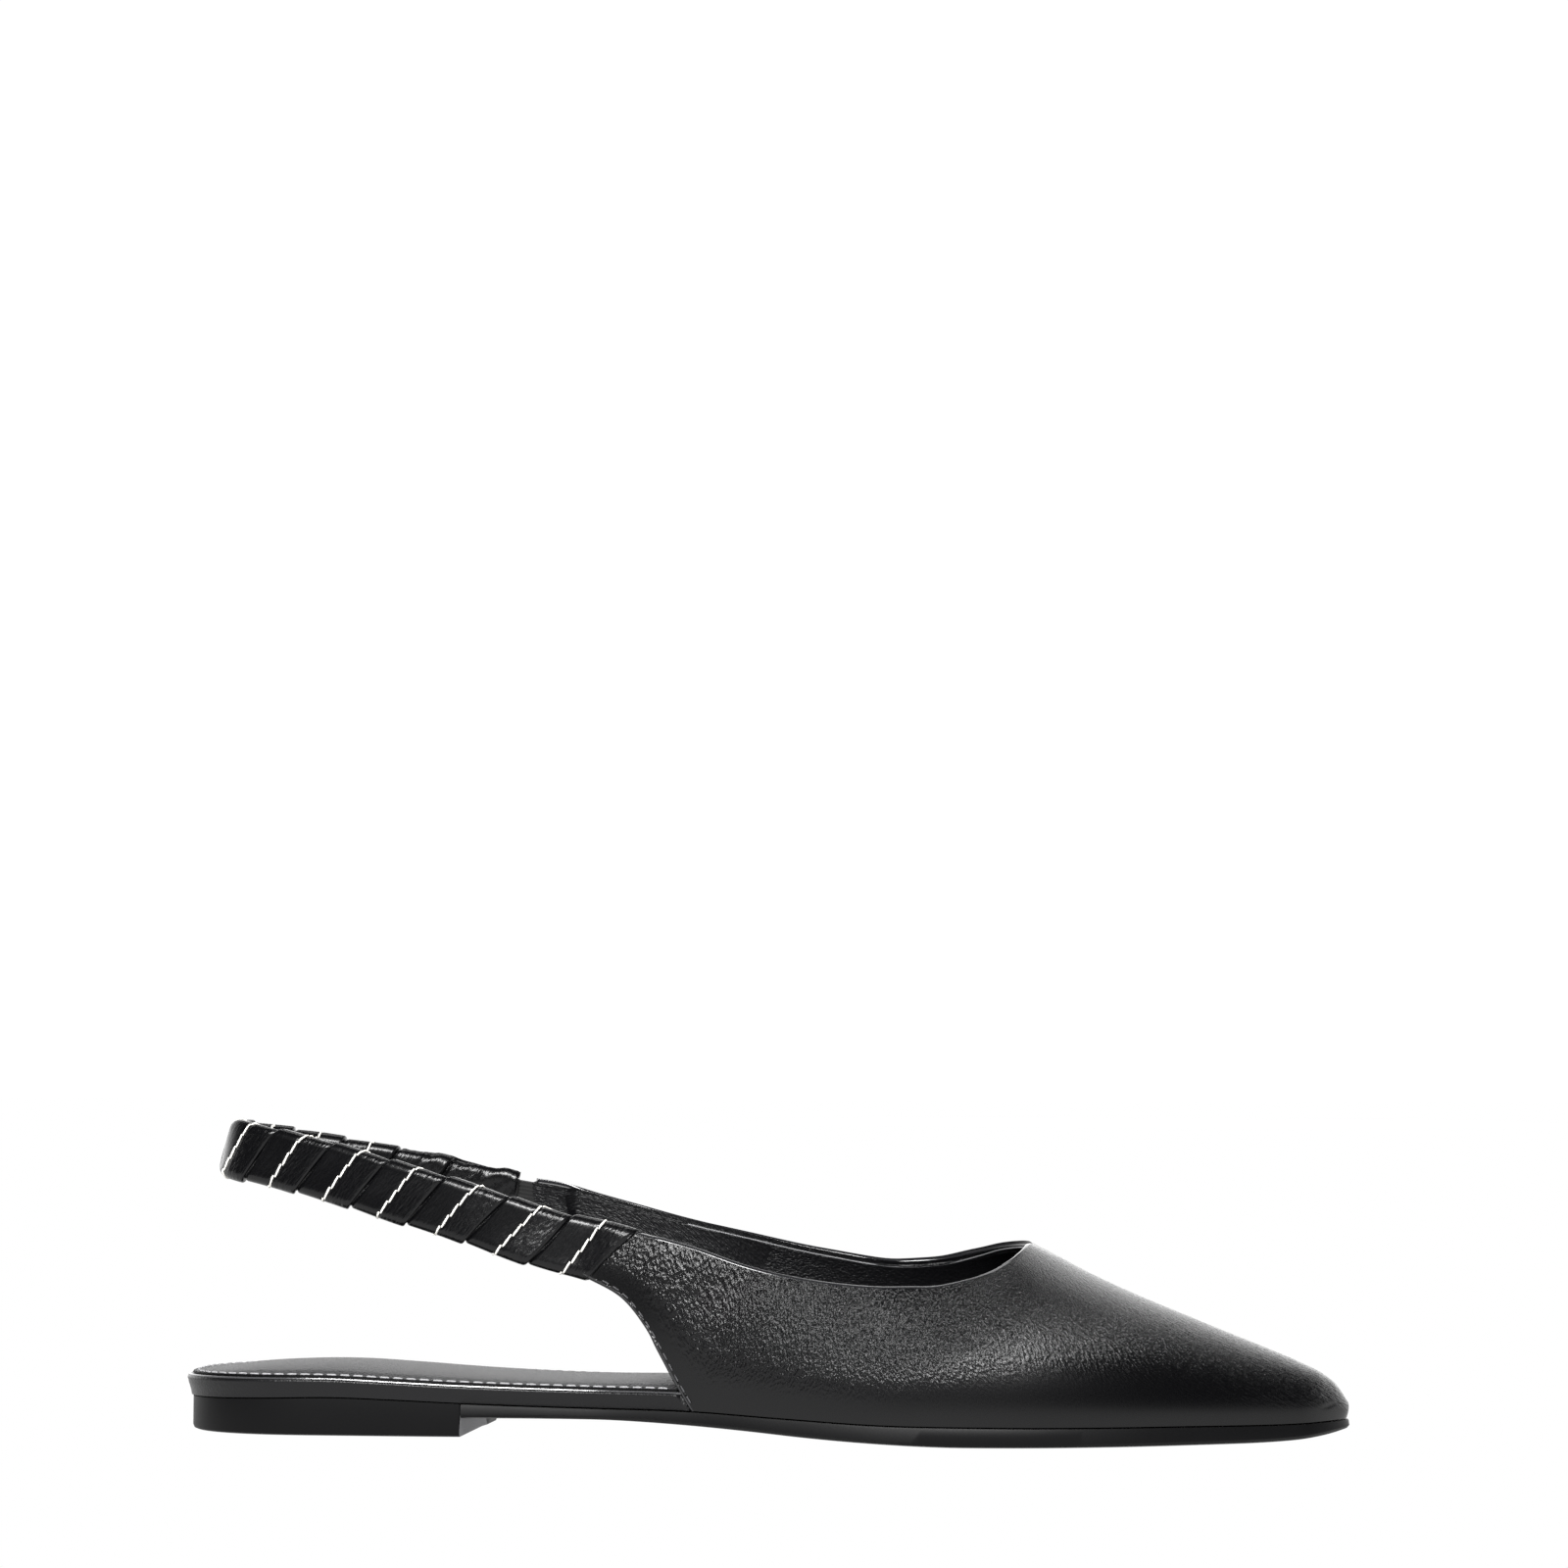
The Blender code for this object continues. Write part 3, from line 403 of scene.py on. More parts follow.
@dataclass
class ShoeShape:
    """Sizes of the shoe in metres, and the surfaces of its sole and its last."""

    length: float = 266.0 * MM
    ball_width: float = BALL_WIDTH
    block_length: float = 67.5 * MM
    block_height: float = 8.0 * MM
    waist_clearance: float = 4.3 * MM
    toe_spring: float = 2.2 * MM
    edge_height: float = 4.0 * MM
    footbed_thickness: float = 4.0 * MM
    wall: float = 1.6 * MM
    throat_height: float = 43.6 * MM
    topline_height: float = 36.0 * MM
    seat_gap: float = 0.3 * MM
    upper_inset: float = 0.7 * MM
    heel_round: float = 0.125
    heel_power: float = 2.3
    toe_round: float = 0.040
    toe_side: float = 0.012
    outline_step: float = 0.0004
    normal_step: float = 0.0008

    def __post_init__(self) -> None:
        """Makes a smooth curve of every table column."""
        self.back = 0.5 * self.block_length
        wide = [(row[0], row[1] * row[3], row[2] * row[3]) for row in OUTLINE]
        self.widths = {side: Profile(wide, column) for side, column in zip(Side, (1, 2))}
        self.waist = Profile(SOLE_PROFILE, 1, self.waist_clearance)
        self.spring = Profile(SOLE_PROFILE, 2, self.toe_spring)
        tops = [(row[0], row[1] * self.block_height + row[2] * self.edge_height) for row in SOLE_TOP]
        self.tops = Profile(tops)
        self.board = Profile(FOOTBED_PROFILE, 1, self.footbed_thickness)
        self.ridge = Profile(LAST, 1, self.throat_height)
        self.ridge_side = Profile(LAST, 2, self.ball_width)
        self.hollow = Profile(LAST, 3)
        self.swell = {side: Profile(LAST, column, self.ball_width) for side, column in zip(Side, (4, 5))}

    def toe_factor(self, along: Points) -> Points:
        """One behind the round toe tip, falling to nothing at the tip as a circle does."""
        share = np.clip((along - 1 + self.toe_round) / self.toe_round, 0.0, 1.0)
        return np.sqrt(1 - share * share)

    def reach(self, along: Points, side: Side) -> Points:
        """Half width of the outline on one side, with the round heel and the round toe tip.

        Args:
            along: Shares of the length.
            side: Side of the foot.

        Returns:
            Signless half widths.
        """
        rear = np.clip(1 - along / self.heel_round, 0.0, 1.0)
        width = self.widths[side](along) * (1 - rear**self.heel_power) ** (1 / self.heel_power)
        tip = self.toe_side * self.ball_width * side.value
        return tip + (width - tip) * self.toe_factor(along)

    def outline(self, along: Points, side: Side, inset: Points | float) -> tuple[Points, Points]:
        """Outline moved inwards.

        Args:
            along: Shares of the length.
            side: Side of the foot.
            inset: How far the line is moved in, in metres.

        Returns:
            Distance from the back, and Y.
        """
        along = np.asarray(along, float)
        small = self.outline_step
        here, ahead = np.maximum(0.0, along - small), np.minimum(1.0, along + small)
        run = (ahead - here) * self.length
        round_slope = (self.reach(ahead, side) - self.reach(here, side)) / run
        plain_slope = (self.widths[side](ahead) - self.widths[side](here)) / run
        slope = np.where(along < 0.5, round_slope, plain_slope)
        size = np.hypot(1.0, slope)
        forward = np.where(along <= small, -1.0, -slope / size)
        sideways = np.where(along <= small, 0.0, 1 / size)
        tip = np.clip(1 - (1 - along) / self.toe_round, 0.0, 1.0)
        x = along * self.length - inset * (forward + (1 - forward) * tip)
        return x, side.value * (self.reach(along, side) - inset * sideways * self.toe_factor(along))

    def bottom(self, from_back: Points) -> Points:
        """Height of the underside: block on the floor, arched waist, sprung toe."""
        along = from_back / self.length
        return np.where(from_back < self.block_length, 0.0, self.waist(along) + self.spring(along))

    def top(self, from_back: Points) -> Points:
        """Height of the outsole's upper face."""
        return self.tops(from_back / self.length)

    def board_top(self, from_back: Points) -> Points:
        """Height of the footbed's upper face."""
        return self.top(from_back) + self.seat_gap + self.board(from_back / self.length)

    def wall_point(self, along: Points, side: Side, share: Points) -> Points:
        """Point of the upper's outer face.

        Args:
            along: Shares of the length.
            side: Side of the foot.
            share: Zero at the feather line, one at the instep ridge.

        Returns:
            Points, with the coordinates on the last axis.
        """
        feather_x, feather_y = self.outline(along, side, self.upper_inset)
        other_x, _ = self.outline(along, side.other, self.upper_inset)
        ridge_x = (feather_x + other_x) / 2
        feather_z = self.top(feather_x) + self.seat_gap
        power = 1 + self.hollow(along)
        angle = 0.5 * math.pi * share
        wide = np.maximum(0.0, np.cos(angle)) ** power
        x = ridge_x + (feather_x - ridge_x) * wide
        ridge_y = self.ridge_side(along)
        y = ridge_y + (feather_y - ridge_y) * wide + side.value * self.swell[side](along) * np.sin(math.pi * share)
        z = feather_z + (self.ridge(along) - feather_z) * np.maximum(0.0, np.sin(angle)) ** power
        return np.stack(np.broadcast_arrays(x - self.back, y, z), axis=-1)

    def share_at(self, along: Points, side: Side, height: Points) -> Points:
        """Share of the section's curve at which it reaches a height above the floor.

        Args:
            along: Shares of the length.
            side: Side of the foot.
            height: Heights above the floor.

        Returns:
            Height shares.
        """
        low = self.wall_point(along, side, np.zeros_like(along))[..., 2]
        high = self.ridge(along)
        rise = np.clip((height - low) / (high - low), 0.0, 1.0)
        return np.arcsin(rise ** (1 / (1 + self.hollow(along)))) * 2 / math.pi

    def wall_normal(self, along: Points, side: Side, share: Points) -> Points:
        """Unit normal of the upper's outer face, pointing out.

        Args:
            along: Shares of the length.
            side: Side of the foot.
            share: Height shares of the section.

        Returns:
            Unit vectors.
        """
        small = self.normal_step
        here, ahead = np.maximum(0.0, along - small), np.minimum(1.0, along + small)
        low, high = np.maximum(0.0, share - small), np.minimum(1.0, share + small)
        run = self.wall_point(ahead, side, share) - self.wall_point(here, side, share)
        rise = self.wall_point(along, side, high) - self.wall_point(along, side, low)
        return unit(np.cross(run, rise) * -side.value)


class Modeller:
    """Turns rows of points into finished mesh pieces."""

    @staticmethod
    def sheet(
        points: Points,
        material: Material,
        grain: Points | None = None,
        strength: Points | None = None,
    ) -> Piece:
        """Adds a grid primitive and lays its vertices on rows of points.

        Args:
            points: Array of rows, columns and coordinates.
            material: Material of the sheet.
            grain: Pattern coordinates of the same rows and columns, in metres.
            strength: How strong the grain is, from zero to one.

        Returns:
            The sheet's object.
        """
        rows, columns = points.shape[:2]
        bpy.ops.mesh.primitive_grid_add(x_subdivisions=columns - 1, y_subdivisions=rows - 1, size=1.0)
        piece = bpy.context.object
        mesh = piece.data
        flat = np.empty(3 * len(mesh.vertices))
        mesh.vertices.foreach_get("co", flat)
        flat = flat.reshape(-1, 3)
        column = np.rint((flat[:, 0] + 0.5) * (columns - 1)).astype(int)
        row = np.rint((flat[:, 1] + 0.5) * (rows - 1)).astype(int)
        mesh.vertices.foreach_set("co", points[row, column].ravel())
        corners = np.empty(len(mesh.loops), int)
        mesh.loops.foreach_get("vertex_index", corners)
        pattern = points[..., [0, 2]] if grain is None else grain
        mesh.uv_layers[0].name = "grain"
        mesh.uv_layers[0].data.foreach_set("uv", pattern[row, column][corners].ravel())
        force = mesh.attributes.new("grain_strength", "FLOAT", "POINT")
        full = np.ones((rows, columns)) if strength is None else strength
        force.data.foreach_set("value", full[row, column].astype(np.float32))
        mesh.materials.append(material)
        return piece

    @staticmethod
    def tube(line: Points, side: Points, radius: float, material: Material) -> list[Piece]:
        """Round bead along a line, closed at both ends.

        Args:
            line: Points of the bead's centre.
            side: Unit directions square to the line.
            radius: Radius of the bead.
            material: Material of the bead.

        Returns:
            The bead's sheets, to be joined.
        """
        heading = unit(np.gradient(line, axis=0))
        side = unit(side - heading * np.sum(side * heading, axis=1, keepdims=True))
        lift = np.cross(heading, side)
        half = BEAD_SIDES // 2
        angle = np.linspace(0.0, 2 * np.pi, BEAD_SIDES + 1)[None, :, None]
        ring = line[:, None] + radius * (side[:, None] * np.cos(angle) + lift[:, None] * np.sin(angle))
        caps = [Modeller.sheet(np.stack((row[: half + 1], row[half:][::-1])), material) for row in (ring[0], ring[-1])]
        return [Modeller.sheet(ring, material), *caps]

    @staticmethod
    def join(name: str, sheets: Sequence[Piece], smooth_deg: float = 40.0) -> Piece:
        """Joins sheets, welds their seams and turns the faces outwards.

        Args:
            name: Name of the finished piece.
            sheets: Sheets whose borders meet.
            smooth_deg: Edges sharper than this stay sharp.

        Returns:
            The finished piece.
        """
        bpy.ops.object.select_all(action="DESELECT")
        for piece in sheets:
            piece.select_set(True)
        piece = sheets[0]
        bpy.context.view_layer.objects.active = piece
        if len(sheets) > 1:
            bpy.ops.object.join()
        bpy.ops.object.mode_set(mode="EDIT")
        bpy.ops.mesh.select_all(action="SELECT")
        bpy.ops.mesh.remove_doubles(threshold=WELD)
        bpy.ops.mesh.dissolve_degenerate(threshold=SLIVER)
        bpy.ops.mesh.normals_make_consistent(inside=False)
        bpy.ops.object.mode_set(mode="OBJECT")
        bpy.ops.object.shade_smooth_by_angle(angle=math.radians(smooth_deg))
        bpy.ops.object.select_all(action="DESELECT")
        piece.name = name
        piece.data.name = name
        LOG.info("%s: %d faces", name, len(piece.data.polygons))
        return piece


@dataclass(frozen=True)
class ThreadRow:
    """A row of stitches: one stitch is modelled and copied along a line."""

    length: float
    thickness: float
    gap: float
    sink: float
    slant_deg: float = 0.0
    bluntness: float = 0.5
    fullness: float = 0.55
    heading_step: float = 0.2 * MM

    def stitch(self) -> tuple[Points, list[tuple[int, ...]]]:
        """Models one stitch as a short capsule along X.

        Returns:
            Its vertices and its faces.
        """
        bpy.ops.object.select_all(action="DESELECT")
        bpy.ops.mesh.primitive_uv_sphere_add(segments=8, ring_count=7, radius=1.0)
        ball = bpy.context.object
        points = np.array([vertex.co for vertex in ball.data.vertices])
        faces = [tuple(face.vertices) for face in ball.data.polygons]
        bpy.data.objects.remove(ball)
        along = np.sign(points[:, 2]) * np.abs(points[:, 2]) ** self.bluntness
        full = np.hypot(points[:, 0], points[:, 1])
        swell = np.where(full > 0, np.maximum(full, 1e-9) ** -self.fullness, 0.0)
        radius = 0.5 * self.thickness
        sunk = radius * (1 - self.sink - self.sink * along**4)
        shaped = np.stack(
            (along * 0.5 * self.length, points[:, 0] * swell * radius, points[:, 1] * swell * radius + sunk), axis=-1
        )
        return shaped, faces

    def lay(self, name: str, line: Points, normals: Points, material: Material) -> Piece:
        """Copies the stitch along a line, bent to follow it.

        Args:
            name: Name of the piece.
            line: Points on the leather that the row follows.
            normals: Outward normals at those points.
            material: Material of the thread.

        Returns:
            The whole row as one piece.
        """
        unit_points, unit_faces = self.stitch()
        spans = walk(line)
        count = max(1, int(spans[-1] / (self.length + self.gap)))
        centres = (np.arange(count) + 0.5) * spans[-1] / count

        def read(values: Points, at: Points) -> Points:
            """Values of the line at distances along it."""
            return np.stack([np.interp(at, spans, values[:, c]) for c in range(3)], axis=-1)

        at = centres[:, None] + unit_points[None, :, 0]
        heading = unit(read(line, at + self.heading_step) - read(line, at - self.heading_step))
        normal = unit(read(normals, at))
        across = unit(np.cross(normal, heading))
        offset = unit_points[:, 1] + unit_points[:, 0] * math.tan(math.radians(self.slant_deg))
        verts = read(line, at) + across * offset[None, :, None] + normal * unit_points[None, :, 2, None]
        size = len(unit_points)
        faces = [tuple(corner + size * k for corner in face) for k in range(count) for face in unit_faces]
        mesh = bpy.data.meshes.new(name)
        mesh.from_pydata(verts.reshape(-1, 3).tolist(), [], faces)
        mesh.materials.append(material)
        piece = bpy.data.objects.new(name, mesh)
        bpy.context.scene.collection.objects.link(piece)
        mesh.shade_smooth()
        LOG.info("%s: %d stitches", name, count)
        return piece


@dataclass(frozen=True)
class Finish:
    """Named stuff of one colour; each kind of stuff adds its own pattern."""

    name: str
    colour: str

    def material(self) -> Material:
        """Builds the material and lays the stuff's pattern on its shader.

        Returns:
            The material.
        """
        made = bpy.data.materials.new(self.name)
        made.use_nodes = True
        shader = made.node_tree.nodes["Principled BSDF"]
        shader.inputs["Base Color"].default_value = linear(self.colour)
        self.dress(made.node_tree, shader)
        return made

    def dress(self, tree: Tree, shader: Node) -> None:
        """Lays the pattern of this kind of stuff on the shader."""
        raise NotImplementedError


@dataclass(frozen=True)
class LeatherFinish(Finish):
    """Chrome-tanned leather with a thin finish coat: dark, softly glossy, with a stretched grain."""

    worn: str
    roughness: float
    grain_mm: float
    stretch: float
    depth_mm: float
    reflect: float
    patch_mm: float = 18.0
    drift: float = 1.6
    drift_scale: float = 0.35
    cell_scale: float = 0.95
    cell_softness: float = 0.35
    pore_scale: float = 1.9
    pore_share: float = 0.7
    smoother: float = 0.06
    rougher: float = 0.08

    def dress(self, tree: Tree, shader: Node) -> None:
        """Lays drifting cells and pores on the piece's own pattern coordinates, and a patchy tone.

        Args:
            tree: Node tree of the material.
            shader: Its shader.
        """
        place = add_node(tree, "ShaderNodeUVMap", uv_map="grain").outputs["UV"]
        across = 1 / (self.grain_mm * MM)
        scale = (across, across / self.stretch, 1.0)
        scaled = add_node(tree, "ShaderNodeMapping", {"Vector": place, "Scale": scale}).outputs["Vector"]
        drift = add_node(tree, "ShaderNodeTexNoise", {"Vector": scaled, "Scale": self.drift_scale, "Detail": 1.0})
        bent = add_node(
            tree,
            "ShaderNodeVectorMath",
            {0: drift.outputs["Color"], 1: (self.drift, self.drift, 0.0), 2: scaled},
            operation="MULTIPLY_ADD",
        )
        cells = add_node(
            tree,
            "ShaderNodeTexVoronoi",
            {
                "Vector": bent.outputs["Vector"],
                "Scale": self.cell_scale,
                "Randomness": 1.0,
                "Smoothness": self.cell_softness,
            },
            feature="SMOOTH_F1",
        )
        pores = add_node(
            tree, "ShaderNodeTexNoise", {"Vector": scaled, "Scale": self.pore_scale, "Detail": 2.0, "Roughness": 0.6}
        ).outputs["Fac"]
        mix = add_node(
            tree,
            "ShaderNodeMath",
            {0: pores, 1: self.pore_share, 2: cells.outputs["Distance"]},
            operation="MULTIPLY_ADD",
        )
        force = add_node(tree, "ShaderNodeAttribute", attribute_name="grain_strength").outputs["Fac"]
        height = add_node(tree, "ShaderNodeMath", {0: mix.outputs[0], 1: force}, operation="MULTIPLY")
        bump = add_node(tree, "ShaderNodeBump", {"Distance": self.depth_mm * MM, "Height": height.outputs[0]})
        gloss = add_node(
            tree,
            "ShaderNodeMapRange",
            {"Value": pores, "To Min": self.roughness - self.smoother, "To Max": self.roughness + self.rougher},
        )
        place = add_node(tree, "ShaderNodeTexCoord").outputs["Object"]
        patches = add_node(
            tree, "ShaderNodeTexNoise", {"Vector": place, "Scale": 1 / (self.patch_mm * MM), "Detail": 3.0}
        )
        tone = add_node(
            tree,
            "ShaderNodeMix",
            {"Factor": patches.outputs["Fac"], "A": linear(self.colour), "B": linear(self.worn)},
            data_type="RGBA",
        )
        tree.links.new(tone.outputs["Result"], shader.inputs["Base Color"])
        tree.links.new(gloss.outputs["Result"], shader.inputs["Roughness"])
        tree.links.new(bump.outputs["Normal"], shader.inputs["Normal"])
        shader.inputs["Specular IOR Level"].default_value = self.reflect


@dataclass(frozen=True)
class MouldedFinish(Finish):
    """Moulded rubber or plastic: even colour with the faint texture of the mould."""

    roughness: float
    texture_mm: float
    depth_mm: float
    reflect: float
    uneven: float = 0.05

    def dress(self, tree: Tree, shader: Node) -> None:
        """Lays the mould's texture on object coordinates.

        Args:
            tree: Node tree of the material.
            shader: Its shader.
        """
        place = add_node(tree, "ShaderNodeTexCoord").outputs["Object"]
        noise = add_node(
            tree, "ShaderNodeTexNoise", {"Vector": place, "Scale": 1 / (self.texture_mm * MM), "Detail": 3.0}
        ).outputs["Fac"]
        bump = add_node(tree, "ShaderNodeBump", {"Distance": self.depth_mm * MM, "Height": noise})
        gloss = add_node(
            tree,
            "ShaderNodeMapRange",
            {"Value": noise, "To Min": self.roughness - self.uneven, "To Max": self.roughness + self.uneven},
        )
        tree.links.new(gloss.outputs["Result"], shader.inputs["Roughness"])
        tree.links.new(bump.outputs["Normal"], shader.inputs["Normal"])
        shader.inputs["Specular IOR Level"].default_value = self.reflect


@dataclass(frozen=True)
class ThreadFinish(Finish):
    """Twisted bonded thread: matt, with the twist showing as fine slanted ridges."""

    twist_mm: float = 0.35
    depth_mm: float = 0.05
    wave_scale: float = 0.16
    roughness: float = 0.7

    def dress(self, tree: Tree, shader: Node) -> None:
        """Lays the twist on as a slanting wave.

        Args:
            tree: Node tree of the material.
            shader: Its shader.
        """
        place = add_node(tree, "ShaderNodeTexCoord").outputs["Object"]
        twist = add_node(
            tree,
            "ShaderNodeTexWave",
            {"Vector": place, "Scale": self.wave_scale / (self.twist_mm * MM), "Distortion": 1.0},
            bands_direction="DIAGONAL",
        )
        bump = add_node(tree, "ShaderNodeBump", {"Distance": self.depth_mm * MM, "Height": twist.outputs["Fac"]})
        tree.links.new(bump.outputs["Normal"], shader.inputs["Normal"])
        shader.inputs["Roughness"].default_value = self.roughness


@dataclass(frozen=True)
class ElasticFinish(Finish):
    """Woven rubber-cored elastic: lengthwise cords under a tight crosswise weave."""

    cord_mm: float = 0.9
    pick_mm: float = 0.45
    pick_share: float = 0.4
    depth_mm: float = 0.15
    wave_scale: float = 0.314
    roughness: float = 0.85
    sheen: float = 0.2

    def dress(self, tree: Tree, shader: Node) -> None:
        """Lays two crossing waves on the band's own coordinates.

        Args:
            tree: Node tree of the material.
            shader: Its shader.
        """
        place = add_node(tree, "ShaderNodeUVMap", uv_map="grain").outputs["UV"]
        cords, picks = (
            add_node(
                tree,
                "ShaderNodeTexWave",
                {"Vector": place, "Scale": self.wave_scale / (size * MM)},
                bands_direction=direction,
            ).outputs["Fac"]
            for size, direction in ((self.cord_mm, "Y"), (self.pick_mm, "X"))
        )
        weave = add_node(tree, "ShaderNodeMath", {0: picks, 1: self.pick_share, 2: cords}, operation="MULTIPLY_ADD")
        bump = add_node(tree, "ShaderNodeBump", {"Distance": self.depth_mm * MM, "Height": weave.outputs[0]})
        tree.links.new(bump.outputs["Normal"], shader.inputs["Normal"])
        shader.inputs["Roughness"].default_value = self.roughness
        shader.inputs["Sheen Weight"].default_value = self.sheen


@dataclass
class SoleUnit:
    """Moulded outsole with its heel block, the covered footbed on it, and the padded sock."""

    shape: ShoeShape
    rows: int = 170
    face_width: float = 36.0 * MM
    block_inset: float = 1.4 * MM
    side_inset: float = 0.1 * MM
    top_inset: float = 0.4 * MM
    lip_drop: float = 0.35 * MM
    lip_share: float = 0.4
    bevel: float = 1.8 * MM
    edge_round: float = 0.9 * MM
    round_share: float = 0.35
    round_start: float = 0.29
    breast_step: float = 0.4 * MM
    breast_facing: float = 0.6
    quarter_end: float = 119.5 * MM
    quarter_slant: float = 2.25 * MM
    corner_rows: int = 11
    corner_pitch: float = 0.4 * MM
    corner_lead: float = 1.6 * MM
    corner_step: float = 0.1 * MM
    rand_cover: float = 0.5 * MM
    rand_roll: float = 0.6 * MM
    rand_tuck: float = 1.0 * MM
    hidden_tuck: float = 0.35 * MM
    tuck_start: float = 1.5 * MM
    tuck_end: float = 0.45 * MM
    bead_rows: int = 260
    bead_inset: float = 0.55 * MM
    bead_radius: float = 0.27 * MM
    footbed_fit: float = 0.5 * MM
    footbed_lean: float = 1.5 * MM
    sock_inset: float = 1.3 * MM
    sock_corner: float = 1.0 * MM
    sock_step: float = 0.6 * MM
    sock_thickness: float = 0.5 * MM
    sock_crown: float = 1.6 * MM
    sock_round: float = 0.35 * MM
    crown_power: float = 3.0
    crown_start: float = 1.0 * MM
    crown_full: float = 4.5 * MM
    stitch_rows: int = 400
    stitch_end: float = 0.43
    stitch_inset: float = 1.25 * MM
    stitch_channel: float = 0.2 * MM
    channel_width: float = 0.45 * MM

    def stations(self, steps: Sequence[tuple[float, float]]) -> Points:
        """Shares of the length, close together at both ends, with a pair of rows at each step.

        Args:
            steps: Distance from the back and width of each step across the sole.

        Returns:
            Sorted shares of the length.
        """
        shares = (1 - np.cos(np.pi * np.arange(self.rows + 1) / self.rows)) / 2
        for place, width in steps:
            shares = shares[np.abs(shares * self.shape.length - place) > 2 * width]
            pair = (place - width / 2) / self.shape.length, (place + width / 2) / self.shape.length
            shares = np.concatenate([shares, pair])
        return np.sort(shares)

    def loop(self, shares: Points, side: Side, inset: Callable, height: Callable) -> Points:
        """One line of points round one side of the sole, at an inset and a height."""
        x, y = self.shape.outline(shares, side, inset(shares * self.shape.length))
        return np.stack((x - self.shape.back, y, height(x)), axis=-1)

    def solid(
        self,
        name: str,
        layers: Sequence[tuple[Callable, Callable]],
        steps: Sequence[tuple[float, float]],
        materials: Sequence[Material],
        top: Callable | None = None,
    ) -> Piece:
        """Closed solid between a lower and an upper face.

        Args:
            name: Name of the piece.
            layers: Inset and height of each line round the edge, from the bottom up.
            steps: Steps across the sole.
            materials: Materials of the edge, the lower face and the upper face.
            top: Extra height of the upper face from place, share across and distance from the edge.

        Returns:
            The finished piece.
        """
        shares = self.stations(steps)
        lines = {side: [self.loop(shares, side, *layer) for layer in layers] for side in Side}
        sheets = [Modeller.sheet(np.stack(lines[side]), materials[0]) for side in Side]
        for index, material, lift in ((0, materials[1], None), (-1, materials[2], top)):
            left, right = lines[Side.LATERAL][index], lines[Side.MEDIAL][index]
            sheets.append(self.face(left, right, layers[index][1], lift, material))
        return Modeller.join(name, sheets)

    def face(
        self, left: Points, right: Points, height: Callable, lift: Callable | None, material: Material
    ) -> Piece:
        """Face between the two sides, finer near its edges.

        Args:
            left: Lateral edge.
            right: Medial edge.
            height: Height at a distance from the back.
            lift: Extra height, or None.
            material: Material of the face.

        Returns:
            The face as a sheet.
        """
        width = np.linalg.norm(right[:, :2] - left[:, :2], axis=1)
        scale = np.minimum(1.0, width / self.face_width)[:, None]
        near = np.array(FACE_LINES_MM)[None, :] * MM * scale / np.maximum(width, 1e-9)[:, None]
        share = np.concatenate([near, np.full((len(left), 1), 0.5), 1 - near[:, ::-1]], axis=1)
        points = left[:, None, :] * (1 - share[..., None]) + right[:, None, :] * share[..., None]
        from_back = points[..., 0] + self.shape.back
        points[..., 2] = height(from_back)
        if lift is not None:
            edge = np.minimum(share, 1 - share) * width[:, None]
            points[..., 2] += lift(from_back, share, edge)
        return Modeller.sheet(points, material, points[..., [0, 1]])

    def build_outsole(self, rubber: Material, breast: Material) -> Piece:
        """Outsole in one moulding; the breast and the waist behind it are rougher.

        Args:
            rubber: Material of the moulding.
            breast: Material of the breast.

        Returns:
            The outsole.
        """
        shape, block = self.shape, self.shape.block_length

        def choose(back: float, front: float) -> Callable:
            """One inset on the block and another in front of it."""
            return lambda x: np.where(x < block, back, front)

        def rounded(share: float) -> Callable:
            """Height of the edge's rounding at a share of it.

            Args:
                share: Share of the rounding.

            Returns:
                The height's function.
            """
            return lambda x: shape.bottom(x) + share * np.minimum(
                self.edge_round, self.round_share * (shape.top(x) - shape.bottom(x))
            )

        start = self.round_start
        behind = self.block_inset + start * self.edge_round
        ahead = self.side_inset + start * (self.bevel - self.side_inset)
        lip = self.side_inset + self.lip_share * (self.top_inset - self.side_inset)
        layers = [
            (choose(self.block_inset + self.edge_round, self.bevel), shape.bottom),
            (choose(behind, ahead), rounded(start)),
            (choose(self.block_inset, self.side_inset), rounded(1.0)),
            (choose(self.block_inset, lip), lambda x: shape.top(x) - self.lip_drop),
            (choose(self.block_inset, self.top_inset), shape.top),
        ]
        piece = self.solid("outsole_unit", layers, [(block, self.breast_step)], (rubber, rubber, rubber))
        piece.data.materials.append(breast)
        front = block - self.shape.back
        for face in piece.data.polygons:
            if face.normal.x > self.breast_facing and abs(face.center.x - front) < self.breast_step:
                face.material_index = 1
        return piece

    def build_footbed(self, leather: Material, bead: Material) -> Piece:
        """Board wrapped in leather, whose edge shows as a rolled rand behind the quarters.

        Args:
            leather: Material of the leather.
            bead: Material of the rolled line, painted pale as a highlight.

        Returns:
            The footbed.
        """
        shape = self.shape
        inner = shape.upper_inset + shape.wall + shape.seat_gap
        tuck = shape.upper_inset + self.hidden_tuck

        def behind_inset(x: Points, value: float, corner: float) -> Points:
            """Inset behind the corner, drawn in just before the quarter takes it."""
            drawn_in = smooth_step(corner - self.tuck_start, corner - self.tuck_end, x)
            return value + max(0.0, tuck - value) * drawn_in

        def between(share: float) -> Callable:
            """Height at a share of the footbed's thickness.

            Args:
                share: Share of the thickness.

            Returns:
                The height's function.
            """
            return lambda x: (
                shape.top(x) + shape.seat_gap + share * (shape.board_top(x) - shape.top(x) - shape.seat_gap)
            )

